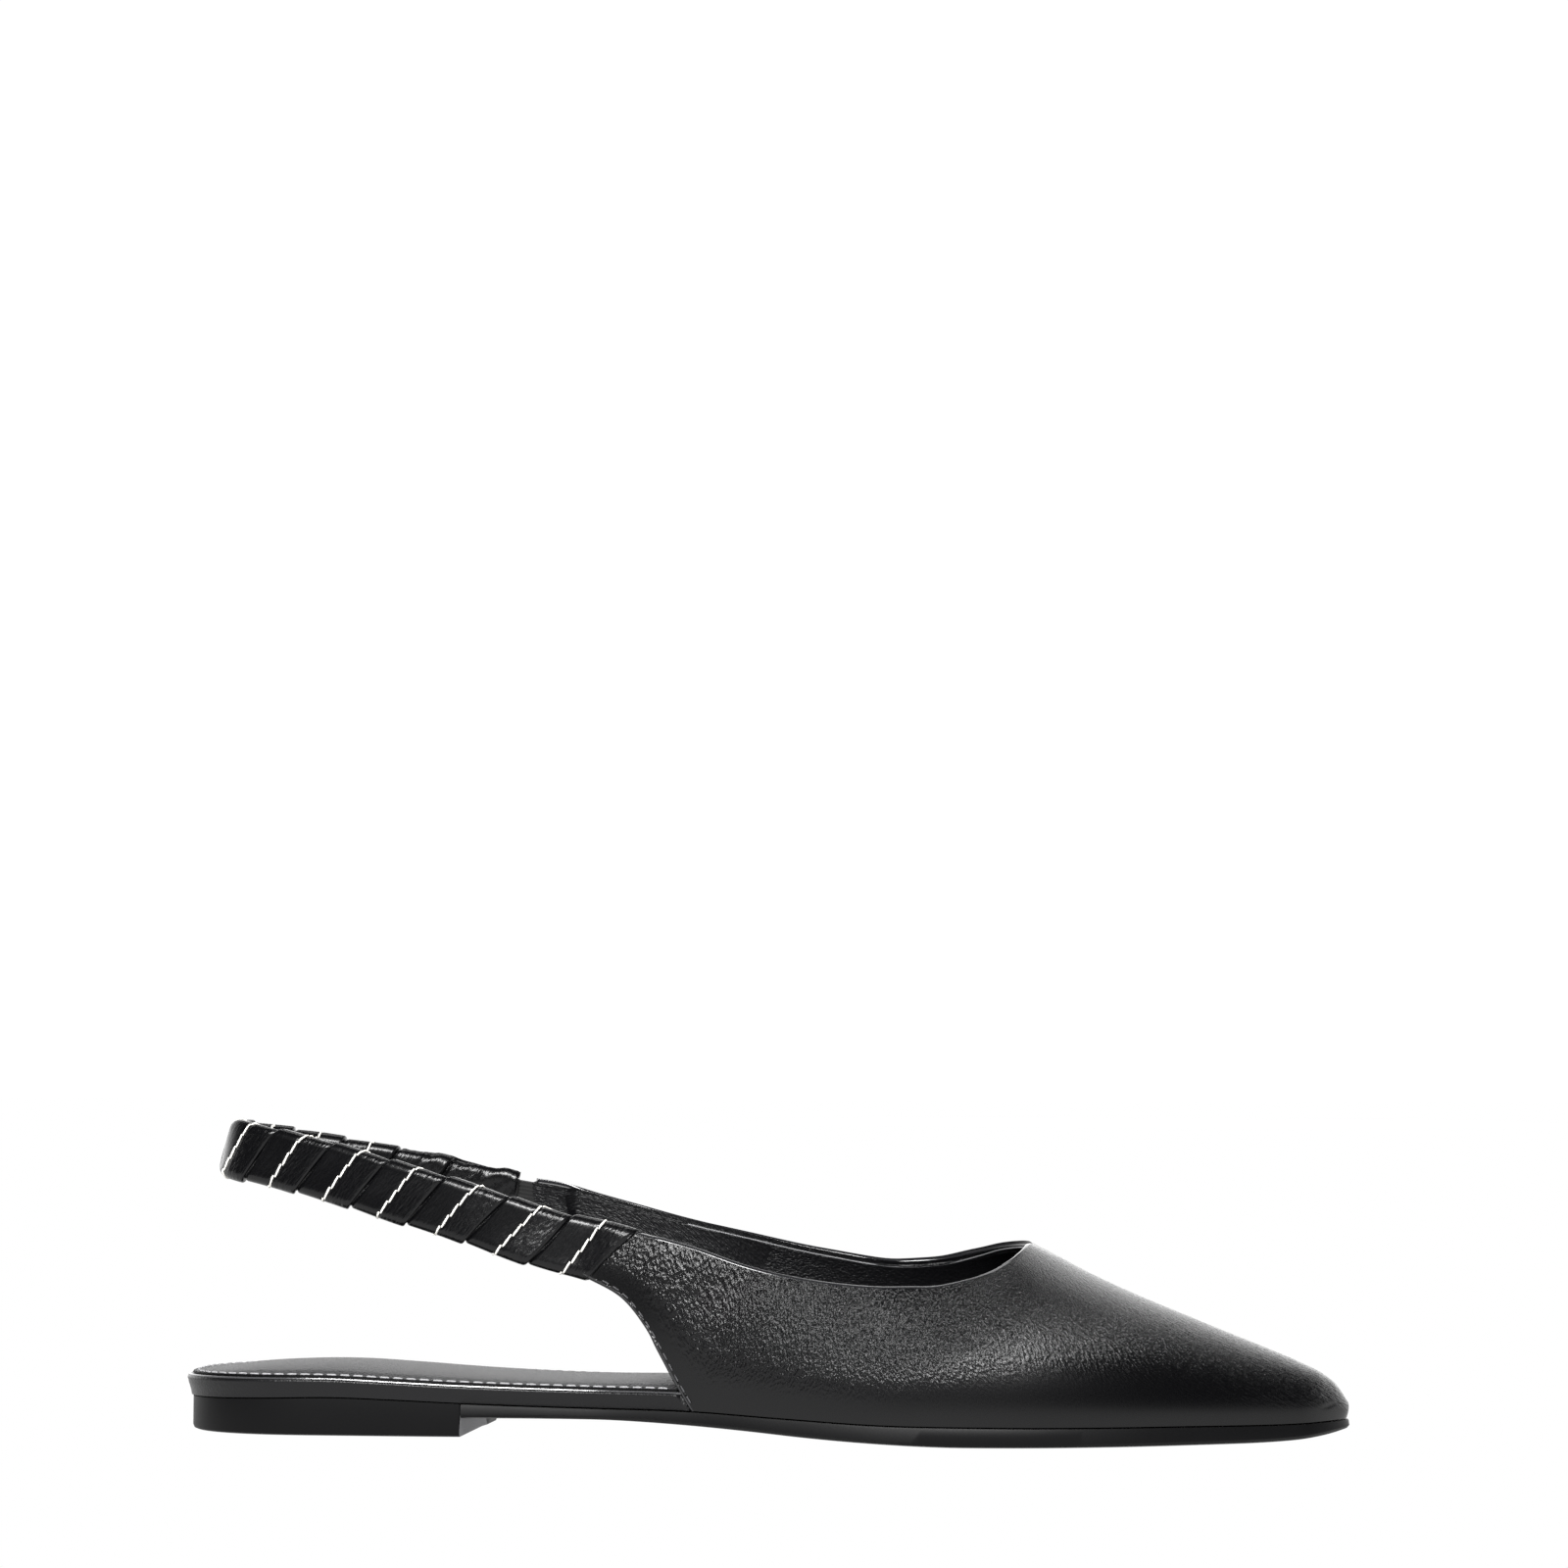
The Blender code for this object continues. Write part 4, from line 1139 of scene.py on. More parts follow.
        table = (
            # height share, inset behind, inset in front
            (0.00, self.rand_tuck, self.footbed_fit),
            (0.22, 0.82 * self.rand_tuck, self.footbed_fit),
            (0.45, 0.50 * self.rand_tuck, self.footbed_fit),
            (0.62, 0.24 * self.rand_tuck, self.footbed_lean),
            (0.73, 0.17 * self.rand_tuck, self.footbed_lean),
            (0.80, 0.02 * self.rand_tuck, self.footbed_lean),
            (0.86, 0.00, self.footbed_lean + 0.1 * self.rand_roll),
            (0.93, 0.14 * self.rand_roll, self.footbed_lean + 0.3 * self.rand_roll),
            (0.98, 0.50 * self.rand_roll, self.footbed_lean + 0.6 * self.rand_roll),
            (1.00, self.rand_roll, self.footbed_lean + self.rand_roll),
        )
        layers = [
            (
                lambda x, b=behind, f=ahead, c=self.corner(share): np.where(x < c, behind_inset(x, b, c), inner + f),
                between(share),
            )
            for share, behind, ahead in table
        ]
        first = self.corner(1.0) - self.corner_lead
        steps = [(first + k * self.corner_pitch, self.corner_step) for k in range(self.corner_rows)]
        piece = self.solid("footbed_board", layers, steps, (leather, leather, leather))
        return Modeller.join("footbed_board", [piece, *self.bead(bead)])

    def corner(self, share: float) -> float:
        """Distance from the back at which the rand ends under the quarter, by share of its height."""
        return self.quarter_end + self.rand_cover - self.quarter_slant * share

    def bead(self, material: Material) -> list[Piece]:
        """Thin bead along the rand's upper edge, painted pale as a highlight, from one quarter round the heel to the
        other.

        Args:
            material: Material of the line.

        Returns:
            Its sheets, to be joined.
        """
        shape = self.shape
        wave = 1 - np.cos(np.linspace(0.0, 1.0, self.bead_rows) * np.pi / 2)
        shares = wave * (self.corner(1.0) / shape.length)
        lateral, medial = (
            self.loop(shares, side, lambda run: self.bead_inset, shape.board_top)
            for side in (Side.LATERAL, Side.MEDIAL)
        )
        line = np.concatenate([lateral[:0:-1], medial])
        return Modeller.tube(line, np.tile((0.0, 0.0, 1.0), (len(line), 1)), self.bead_radius, material)

    def build_sock(self, leather: Material, edge: Material) -> Piece:
        """Padded sock: thin stitched edge, a channel under the stitches, and a crown in the middle.

        Args:
            leather: Material of the leather.
            edge: Material of the sock's edge, painted black as shade.

        Returns:
            The sock.
        """
        shape = self.shape
        corner = self.corner(1.0) - self.sock_corner
        front = shape.upper_inset + shape.wall + shape.seat_gap + self.footbed_lean + self.sock_inset
        crown = Profile(SOCK_PROFILE, 1, self.sock_crown)

        def inset(extra: float) -> Callable:
            """Inset of a line round the sock's edge."""
            return lambda x: np.where(x < corner, self.sock_inset, front) + extra

        def seat(lift: float) -> Callable:
            """Height above the footbed."""
            return lambda x: shape.board_top(x) + shape.seat_gap + lift

        def swell(from_back: Points, share: Points, edge: Points) -> Points:
            """Crown of the padding, with the channel that the stitches pull in.

            Args:
                from_back: Distance from the back.
                share: Share across the sock.
                edge: Distance from the edge.

            Returns:
                Extra heights.
            """
            dome = crown(from_back / shape.length) * (1 - np.abs(2 * share - 1) ** self.crown_power)
            dome = dome * smooth_step(self.crown_start, self.crown_full, edge)
            channel = np.exp(-(((edge - self.stitch_inset + self.sock_round) / self.channel_width) ** 2))
            return dome - self.stitch_channel * channel

        rim = ((0.0, 0.0), (0.0, 0.6), (0.3, 0.87), (1.0, 1.0))
        layers = [(inset(part * self.sock_round), seat(rise * self.sock_thickness)) for part, rise in rim]
        # The sock's side and underside take the edge material, painted black as the shade under the stitches
        return self.solid("sock_pad", layers, [(corner, self.sock_step)], (edge, edge, leather), swell)

    def stitch_line(self, side: Side) -> tuple[Points, Points]:
        """Line of the sock's stitches on one side, from the middle of the heel to the quarter's edge.

        Args:
            side: Side of the foot.

        Returns:
            The line's points and the normals there.
        """
        shape = self.shape
        shares = self.stitch_end * (1 - np.cos(np.linspace(0.0, 1.0, self.stitch_rows) * np.pi / 2))
        x, y = shape.outline(shares, side, self.sock_inset + self.stitch_inset)
        z = shape.board_top(x) + shape.seat_gap + self.sock_thickness - 0.5 * self.stitch_channel
        line = np.stack((x - shape.back, y, z), axis=-1)
        return line, np.tile((0.0, 0.0, 1.0), (len(line), 1))


@dataclass
class UpperShell:
    """Vamp and quarters as one shell: outer leather, turned edge and lining."""

    shape: ShoeShape
    rows_tab: int = 44
    rows_middle: int = 26
    rows_throat: int = 46
    rows_toe: int = 84
    columns: int = 76
    rim_steps: int = 8
    line_rows: tuple[int, int] = (90, 140)
    fold_rows: tuple[int, int] = (110, 120)
    row_gap: float = 0.001
    tab_tops: tuple[float, float] = (0.396, 0.285)
    tab_middles: tuple[float, float] = (0.385, 0.289)
    corner_top: float = 0.500
    throat: float = 0.731
    throat_start: float = 0.620
    throat_bottom: float = 0.760
    column_power: float = 1.45
    lining_drop: float = 1.9 * MM
    lining_step: float = 0.45 * MM
    lining_rise: float = 0.25 * MM
    lining_share: float = 0.4
    edge_step: float = 0.004
    stitch_rows: int = 200
    stitch_inset: float = 1.3 * MM
    stitch_span: tuple[float, float] = (0.1, 0.97)
    sleeve_length: float = 8.5 * MM
    sleeve_depth: float = 2.5 * MM
    sleeve_fade: tuple[float, float] = (-0.3 * MM, 1.4 * MM)
    seam_depth: float = 0.3 * MM
    seams: Rows = ((0.3 * MM, 0.35 * MM), (-1.7 * MM, 0.3 * MM))
    pucker_depth: float = 0.12 * MM
    pucker_waves: float = 58.0
    pucker_place: float = -0.7 * MM
    pucker_reach: float = 1.6 * MM
    crease_ridge: float = 0.55
    crease_side: float = 1.9
    section_rise: float = 1.15
    throat_soften: float = 0.5 * MM
    throat_reach: float = 5.0 * MM
    toe_bulge: float = 0.5 * MM
    toe_bulge_start: float = 0.95
    toe_bulge_power: float = 0.8
    grain_back_deg: float = 25.0
    grain_turn_deg: float = 77.0
    grain_turn: tuple[float, float] = (0.42, 0.86)
    grain_levels: tuple[float, float] = (0.10, 0.48)
    grain_least: float = 0.45
    grain_span: float = 30.0 * MM
    smooth_deg: float = 50.0
    fold_start: float = 0.425
    fold_stop: float = 0.006
    fold_below: float = 0.1 * MM
    fold_inside: float = 0.12 * MM
    fold_radius: float = 0.17 * MM

    def __post_init__(self) -> None:
        """Gathers the tables of each side."""
        self.toplines = {Side.LATERAL: LATERAL_TOPLINE, Side.MEDIAL: MEDIAL_TOPLINE}
        self.edges = {Side.LATERAL: LATERAL_BACK_EDGE, Side.MEDIAL: MEDIAL_BACK_EDGE}
        self.tab_top = dict(zip(Side, self.tab_tops))
        self.tab_mid = dict(zip(Side, self.tab_middles))
        self.border = {side: self.topline_points(side) for side in Side}

    def topline(self, along: Points, side: Side, drop: float) -> Points:
        """Height share of the topline, lowered by a distance that fades out at the throat.

        Args:
            along: Shares of the length.
            side: Side of the foot.
            drop: How far the line is lowered.

        Returns:
            Height shares.
        """
        shape = self.shape
        height = Profile(self.toplines[side], 1, shape.topline_height)(along)
        pull = Profile(self.toplines[side], 2)(along)
        height = height + (shape.throat_height - height) * pull
        return shape.share_at(along, side, height - drop * (1 - pull * pull))

    def back_edge(self, side: Side, parts: Points, inset: float) -> tuple[Points, Points]:
        """Back edge of a quarter.

        Args:
            side: Side of the foot.
            parts: Shares of the edge's length, from the tab down.
            inset: How far inside the cut edge the line runs.

        Returns:
            Share along the sole and height, in metres.
        """
        shape = self.shape
        knots = np.array([(a * shape.length, h * shape.topline_height) for a, h in self.edges[side]])
        spans = walk(knots) / walk(knots)[-1]
        curves = [Profile(list(zip(spans, knots[:, c]))) for c in range(2)]
        small = self.edge_step
        here = np.stack([curve(parts) for curve in curves], axis=-1)
        heading = np.stack([curve(parts + small) - curve(parts - small) for curve in curves], axis=-1)
        heading = heading / np.linalg.norm(heading, axis=-1, keepdims=True)
        moved = here + inset * np.stack((-heading[:, 1], heading[:, 0]), axis=-1)
        return moved[:, 0] / shape.length, moved[:, 1]

    def frame_rows(self, side: Side, inset: float) -> tuple[Points, Points, Points, Points]:
        """Lower and upper end of every row, from the tab's end to the toe.

        Args:
            side: Side of the foot.
            inset: How far inside the free edges the grid stops.

        Returns:
            Lower share along, lower height share, upper share along, upper height share.
        """
        shape = self.shape
        parts = np.arange(self.rows_tab) / self.rows_tab
        edge_a, edge_h = self.back_edge(side, parts, inset)
        count = self.rows_middle + self.rows_throat
        start = self.edges[side][-1][0] + inset / shape.length
        foot_a = start + (self.throat_bottom - start) * np.arange(count) / count
        toe = np.sin(0.5 * np.pi * np.arange(self.rows_toe + 1) / self.rows_toe)
        low_a = np.concatenate([edge_a, foot_a, self.throat_bottom + (1 - self.throat_bottom) * toe])
        low_s = np.concatenate([shape.share_at(edge_a, side, edge_h), np.zeros(count + len(toe))])
        tab = self.tab_top[side] + inset / shape.length
        tab_a = tab + (self.corner_top - tab) * parts
        middle = np.linspace(self.corner_top, self.throat_start, self.rows_middle, endpoint=False)
        wave = 1 - (1 - np.arange(self.rows_throat) / self.rows_throat) ** 3
        top_a = np.concatenate([tab_a, middle, self.throat_start + (self.throat - self.throat_start) * wave])
        top_s = np.concatenate([self.topline(top_a, side, inset), np.ones(len(toe))])
        top_a = np.concatenate([top_a, self.throat + (1 - self.throat) * toe])
        return low_a, low_s, top_a, top_s

    def topline_points(self, side: Side) -> Points:
        """Points along the topline of one side, from the tab to the throat.

        Args:
            side: Side of the foot.

        Returns:
            The points.
        """
        back_rows, throat_rows = self.line_rows
        back = np.linspace(self.tab_top[side], self.throat_start, back_rows)
        start = self.throat_start + self.row_gap
        wave = np.sin(np.linspace(0.0, 0.5 * np.pi, throat_rows))
        along = np.concatenate([back, start + (self.throat - start) * wave])
        return self.shape.wall_point(along, side, self.topline(along, side, 0.0))

    def to_topline(self, points: Points) -> Points:
        """Distance of each point from the nearest place of the topline.

        Args:
            points: Points to measure from.

        Returns:
            Distances.
        """
        line = np.concatenate([self.border[side] for side in Side])
        flat = points.reshape(-1, 1, 3)
        found = np.empty(len(flat))
        for start in range(0, len(flat), BATCH):
            batch = slice(start, start + BATCH)
            found[batch] = np.linalg.norm(flat[batch] - line[None], axis=2).min(axis=1)
        return found.reshape(points.shape[:-1])

    def relief(self, along: Points, side: Side, share: Points) -> Points:
        """Soft troughs of the worn leather, as a distance along the normal.

        Args:
            along: Shares of the length.
            side: Side of the foot.
            share: Height shares of the section.

        Returns:
            Heights, negative in a trough.
        """
        height = np.zeros(along.shape)
        run = along * self.shape.length
        climb = share * self.section_rise * self.shape.ridge(along)
        for sign, middle, level, length, turn, width, depth in CREASES:
            if sign != side.value:
                continue
            dx = run - middle * self.shape.length
            dz = climb - level * self.section_rise * float(self.shape.ridge(middle))
            angle = math.radians(turn)
            lengthwise = dx * math.cos(angle) + dz * math.sin(angle)
            across = dz * math.cos(angle) - dx * math.sin(angle)
            fade = np.exp(-((lengthwise / (0.5 * length)) ** 4))
            trough = np.exp(-((across / width) ** 2))
            ridge = self.crease_ridge * np.exp(-((across / width - self.crease_side) ** 2))
            height -= depth * fade * (trough - ridge)
        return height

    def thickness(self, along: Points, side: Side, share: Points, drop: Points) -> Points:
        """Thickness of the shell: wall, lining fold under the topline, and the sleeve round the elastic.

        Args:
            along: Shares of the length.
            side: Side of the foot.
            share: Height share of the section.
            drop: Distance from the topline.

        Returns:
            Thickness at each point.
        """
        inside = smooth_step(self.lining_drop, self.lining_drop + self.lining_rise, drop)
        lining = self.lining_step * (inside - self.lining_share)
        ahead = (along - self.tab_mid[side]) * self.shape.length - self.sleeve_length
        sleeve = self.sleeve_depth * (1 - smooth_step(*self.sleeve_fade, ahead))
        seam = sum(np.exp(-(((ahead - place) / width) ** 2)) for place, width in self.seams)
        pucker = np.sin(share * self.pucker_waves) * np.exp(-(((ahead - self.pucker_place) / self.pucker_reach) ** 2))
        return self.shape.wall + lining + sleeve - self.seam_depth * seam + self.pucker_depth * pucker

    def grid(self, side: Side, inset: float) -> dict[str, Points]:
        """Outer points, normals, inner points, and the pattern of the leather on one side.

        Args:
            side: Side of the foot.
            inset: How far inside the edges the grid stops.

        Returns:
            The arrays by name.
        """
        low_a, low_s, top_a, top_s = self.frame_rows(side, inset)
        part = 1 - (1 - np.linspace(0.0, 1.0, self.columns + 1)[None, :]) ** self.column_power
        along = low_a[:, None] + (top_a - low_a)[:, None] * part
        share = low_s[:, None] + (top_s - low_s)[:, None] * part
        shape = self.shape
        points = shape.wall_point(along, side, share)
        normal = shape.wall_normal(along, side, share)
        shared = (share > SHARED_FROM) | (along > SHARED_FROM)
        other = shape.wall_normal(along, side.other, share)
        normal = np.where(shared[..., None], unit(normal + other), normal)
        drop = self.to_topline(points)
        tip = np.linalg.norm(points - self.border[side][-1], axis=-1)
        settle = self.relief(along, side, share) * np.where(shared, 0.0, 1.0)
        inner = points - normal * self.thickness(along, side, share, drop)[..., None]
        points = points + normal * settle[..., None]
        lower = self.throat_soften * np.exp(-((tip / self.throat_reach) ** 2))
        points[..., 2] -= lower
        inner[..., 2] -= lower
        bulge = self.toe_bulge * smooth_step(self.toe_bulge_start, 1.0, along)
        points[..., 0] += bulge * np.sin(np.pi * share**self.toe_bulge_power)
        climb = np.concatenate(
            [np.zeros((len(points), 1)), np.cumsum(np.linalg.norm(np.diff(points, axis=1), axis=2), axis=1)], axis=1
        )
        lean = np.tan(np.radians(self.grain_back_deg - self.grain_turn_deg * smooth_step(*self.grain_turn, along)))
        grain = np.stack((along * shape.length - climb * lean, climb), axis=-1)
        span = climb[:, -1:]
        level = climb / np.maximum(span, 1e-6)
        most = self.grain_least + (1 - self.grain_least) * smooth_step(0.0, self.grain_span, span)
        strength = smooth_step(*self.grain_levels, level) * most
        return {"points": points, "normal": normal, "inner": inner, "grain": grain, "strength": strength}

    def build(
        self,
        leather: Material,
        lining: Material,
        edge: Material,
        fold: Material,
    ) -> Piece:
        """Outer leather, rolled free edges and lining, as one closed shell.

        Args:
            leather: Material of the outside.
            lining: Material of the inside.
            edge: Material of the rolled edge, painted lighter than the calf as a highlight line.
            fold: Material of the lining's edge line, painted pale as a highlight.

        Returns:
            The finished shell.
        """
        radius = 0.5 * self.shape.wall
        throat_row = self.rows_tab + self.rows_middle + self.rows_throat
        order = [(row, 0) for row in range(self.rows_tab, -1, -1)]
        order += [(0, column) for column in range(1, self.columns + 1)]
        order += [(row, self.columns) for row in range(1, throat_row + 1)]
        rows, columns = np.array(order).T
        data = {side: self.grid(side, radius) for side in Side}
        away = {}
        for side in Side:
            line, line_normal = data[side]["points"][rows, columns], data[side]["normal"][rows, columns]
            heading = np.gradient(line, axis=0)
            heading[-1] = (0.0, side.value, 0.0)
            direction = unit(np.cross(heading, line_normal))
            direction *= -1.0 if direction[len(direction) // 2, 2] < 0 else 1.0
            away[side] = direction
        shared = unit(away[Side.LATERAL][-1] + away[Side.MEDIAL][-1])
        sheets = []
        for side in Side:
            found = data[side]
            points, inner, grain, strength = found["points"], found["inner"], found["grain"], found["strength"]
            away[side][-1] = shared
            sheets.append(Modeller.sheet(points, leather, grain, strength))
            sheets.append(Modeller.sheet(inner, lining, grain[..., ::-1]))
            foot = np.stack((points[self.rows_tab :, 0], inner[self.rows_tab :, 0]))
            sheets.append(Modeller.sheet(foot, lining, None, np.zeros(foot.shape[:2])))
            outer_line, inner_line = points[rows, columns], inner[rows, columns]
            centre, half = (outer_line + inner_line) / 2, (outer_line - inner_line) / 2
            arcs, marks = [], []
            for angle in np.linspace(0.0, np.pi, self.rim_steps + 1):
                arcs.append(centre + half * math.cos(angle) + radius * away[side] * math.sin(angle))
                marks.append(grain[rows, columns] + (0.0, radius * angle))
            # The rolled rim is real; its lighter material is a painted highlight along the topline
            sheets.append(Modeller.sheet(np.stack(arcs), edge, np.stack(marks)))
            sheets += self.fold_line(side, fold)
        return Modeller.join("upper_shell", sheets, self.smooth_deg)

    def fold_line(self, side: Side, material: Material) -> list[Piece]:
        """Thin line where the lining is trimmed below the topline, painted pale as a highlight.

        Args:
            side: Side of the foot.
            material: Material of the line.

        Returns:
            Its sheets, to be joined.
        """
        back_rows, throat_rows = self.fold_rows
        back = np.linspace(self.fold_start, self.throat_start, back_rows)
        front = np.linspace(self.throat_start + self.row_gap, self.throat - self.fold_stop, throat_rows)
        along = np.concatenate([back, front])
        share = self.topline(along, side, self.lining_drop + self.fold_below)
        normal = self.shape.wall_normal(along, side, share)
        line = self.shape.wall_point(along, side, share) - normal * (self.shape.wall + self.fold_inside)
        tip = np.linalg.norm(line - self.border[side][-1], axis=-1)
        line[:, 2] -= self.throat_soften * np.exp(-((tip / self.throat_reach) ** 2))
        return Modeller.tube(line, normal, self.fold_radius, material)

    def stitch_line(self, side: Side) -> tuple[Points, Points]:
        """Line of the stitches inside a quarter's back edge, from the sling down to the sole.

        Args:
            side: Side of the foot.

        Returns:
            The line's points and the normals there.
        """
        parts = np.linspace(*self.stitch_span, self.stitch_rows)
        along, height = self.back_edge(side, parts, self.stitch_inset)
        share = self.shape.share_at(along, side, height)
        return self.shape.wall_point(along, side, share), self.shape.wall_normal(along, side, share)


@dataclass
class SlingBand:
    """Elastic band behind the heel and the leather tape wound round it."""

    shape: ShoeShape
    upper: UpperShell
    height: float = 64.0 * MM
    loop_width: float = 54.0 * MM
    core_width: float = 8.6 * MM
    core_thickness: float = 1.6 * MM
    core_overlap: float = 12.0 * MM
    bore_gap: float = 0.35 * MM
    core_cut: float = 5.0 * MM
    pitch: float = 14.4 * MM
    tape: float = 0.9 * MM
    step: float = 0.33 * MM
    turns: int = 12
    extra_width: float = 1.2 * MM
    end_slant: float = 1.9 * MM
    flare_out: float = 1.75 * MM
    flare_wide: float = 0.35 * MM
    flare_start: float = 9.0 * MM
    flare_end: float = 20.0 * MM
    tab_slopes_deg: tuple[float, float] = (14.5, 11.0)
    lean_deg: float = 14.5
    turn_share: float = 0.3
    tangent_step: float = 2.0 * MM
    last_turn: tuple[float, float] = (168.5 * MM, 171.0 * MM)
    last_drop: float = 0.5 * MM
    end_drop: float = 0.3 * MM
    swell: float = 0.10 * MM
    swell_shift: float = 0.37
    # Depth of each wrinkle of the loose end; waves round and across the tape; its wander and the wander's waves
    wrinkles: Rows = ((0.16 * MM, 3.1, 1.7, 0.20, 9.0, 4.0), (0.12 * MM, 6.3, -2.3, 0.15, 0.0, 14.0))
    wrinkled_band: tuple[float, ...] = (0.03, 0.10, 0.40, 0.50)
    crumpled_end: tuple[float, float] = (1.25, 0.95)
    crumpled_grain: tuple[float, float] = (1.2, 1.0)
    crumple_slant: float = 0.4
    calm_from: float = 0.93
    least_tape: float = 0.05 * MM
    plain_grain: float = 0.28
    end_grain: float = 0.5
    thread_ends: tuple[float, float] = (0.02, 1.55)
    samples: int = 1200
    round_columns: int = 64
    core_rows: int = 260
    core_columns: int = 32

    def __post_init__(self) -> None:
        """Draws the centreline and measures it."""
        self.turn_ends = Profile([(turn, at * MM) for turn, at in enumerate(TAPE_TURNS_MM)])
        self.edge = Profile((*TAPE_EDGE, (1.0, 1.00)), 1, MM)
        self.slope = {side: math.radians(slope) for side, slope in zip(Side, self.tab_slopes_deg)}
        points = self.route()
        self.curve = self.spline(points)
        self.lengths = walk(self.curve)
        self.length = float(self.lengths[-1])
        self.starts = self.nearest(points[2])
        self.ends = self.nearest(points[-3])
        self.leans = {side: self.tab_lean(side) for side in Side}
        lean = math.radians(self.lean_deg)
        self.back_lean = np.array((math.sin(lean), 0.0, math.cos(lean)))

    def tab_ends(self, side: Side) -> tuple[Points, Points]:
        """Lower and upper end of a tab's edge, as share along and height share."""
        low_a, low_s, top_a, top_s = self.upper.frame_rows(side, 0.0)
        return np.array((low_a[0], low_s[0])), np.array((top_a[0], top_s[0]))

    def tab_point(self, side: Side, ahead: float, depth: float) -> Points:
        """Point inside a quarter's tab, a distance ahead of its end and sunk below the outer face.

        Args:
            side: Side of the foot.
            ahead: Distance ahead of the tab's end.
            depth: Distance below the outer face.

        Returns:
            The point.
        """
        low, high = self.tab_ends(side)
        middle = (low + high) / 2
        height = self.shape.wall_point(middle[:1], side, middle[1:])[0, 2] - ahead * math.tan(self.slope[side])
        along = middle[:1] + ahead / self.shape.length
        share = self.shape.share_at(along, side, np.array([height]))
        face = self.shape.wall_point(along, side, share) - self.shape.wall_normal(along, side, share) * depth
        return face[0]

    def tab_lean(self, side: Side) -> Points:
        """Direction up the outer face of a quarter's tab.

        Args:
            side: Side of the foot.

        Returns:
            The direction.
        """
        low, high = self.tab_ends(side)
        along = np.array([(low[0] + high[0]) / 2])
        rise = self.shape.wall_point(along, side, high[1:]) - self.shape.wall_point(along, side, low[1:])
        rise = unit(rise[0])
        return np.array((math.tan(self.slope[side]), rise[1], rise[2]))

    def route(self) -> Points:
        """Points of the centreline: inside one quarter, round the heel, inside the other.

        Returns:
            The points.
        """
        depth = self.shape.wall + self.shape.seat_gap + 0.5 * self.core_thickness
        points = [self.tab_point(Side.LATERAL, part * self.core_overlap, depth) for part in (1.0, 0.5, 0.0)]
        for along, side, height in SLING_ROUTE:
            x = along * self.shape.length - self.shape.back
            points.append(np.array((x, side * self.loop_width, height * self.height)))
        points += [self.tab_point(Side.MEDIAL, part * self.core_overlap, depth) for part in (0.0, 0.5, 1.0)]
        return np.array(points)

    def spline(self, points: Points) -> Points:
        """Natural cubic spline through the route's points, at even shares of the chord length.

        Args:
            points: Points that the curve runs through.

        Returns:
            Points of the curve.
        """
        at = walk(points) / walk(points)[-1]
        count, steps = len(at), np.diff(at)
        system, target = np.zeros((count, count)), np.zeros((count, 3))
        system[0, 0] = system[-1, -1] = 1.0
        for i in range(1, count - 1):
            system[i, i - 1 : i + 2] = steps[i - 1], 2 * (steps[i - 1] + steps[i]), steps[i]
            target[i] = 6 * ((points[i + 1] - points[i]) / steps[i] - (points[i] - points[i - 1]) / steps[i - 1])
        bends = np.linalg.solve(system, target)
        share = np.linspace(0.0, 1.0, self.samples + 1)
        i = np.clip(np.searchsorted(at, share, side="right") - 1, 0, count - 2)
        ahead, back, step = (at[i + 1] - share)[:, None], (share - at[i])[:, None], steps[i][:, None]
        return (
            (bends[i] * ahead**3 + bends[i + 1] * back**3) / (6 * step)
            + (points[i] / step - bends[i] * step / 6) * ahead
            + (points[i + 1] / step - bends[i + 1] * step / 6) * back
        )

    def nearest(self, target: Points) -> float:
        """Distance along the curve of its nearest point to a target."""
        return float(self.lengths[int(np.argmin(np.linalg.norm(self.curve - target, axis=1)))])

    def at(self, distance: Points) -> Points:
        """Points of the curve at distances from its lateral end."""
        return np.stack([np.interp(distance, self.lengths, self.curve[:, c]) for c in range(3)], axis=-1)

    def frame(self, distance: Points) -> tuple[Points, Points, Points]:
        """Point, width direction (up) and thickness direction (out) at each distance.

        Args:
            distance: Distances along the sling.

        Returns:
            The three arrays.
        """
        ahead = np.minimum(distance + self.tangent_step, self.length)
        back = np.maximum(distance - self.tangent_step, 0.0)
        tangent = unit(self.at(ahead) - self.at(back))
        share = (distance - self.starts) / (self.ends - self.starts)
        near = smooth_step(0.0, 1.0, np.clip(np.minimum(share, 1 - share) / self.turn_share, 0.0, 1.0))[..., None]
        side_lean = np.where((share < 0.5)[..., None], self.leans[Side.LATERAL], self.leans[Side.MEDIAL])
        lean = side_lean * (1 - near) + self.back_lean * near
        width = unit(lean - tangent * np.sum(lean * tangent, axis=-1, keepdims=True))
        return self.at(distance), width, np.cross(width, tangent)

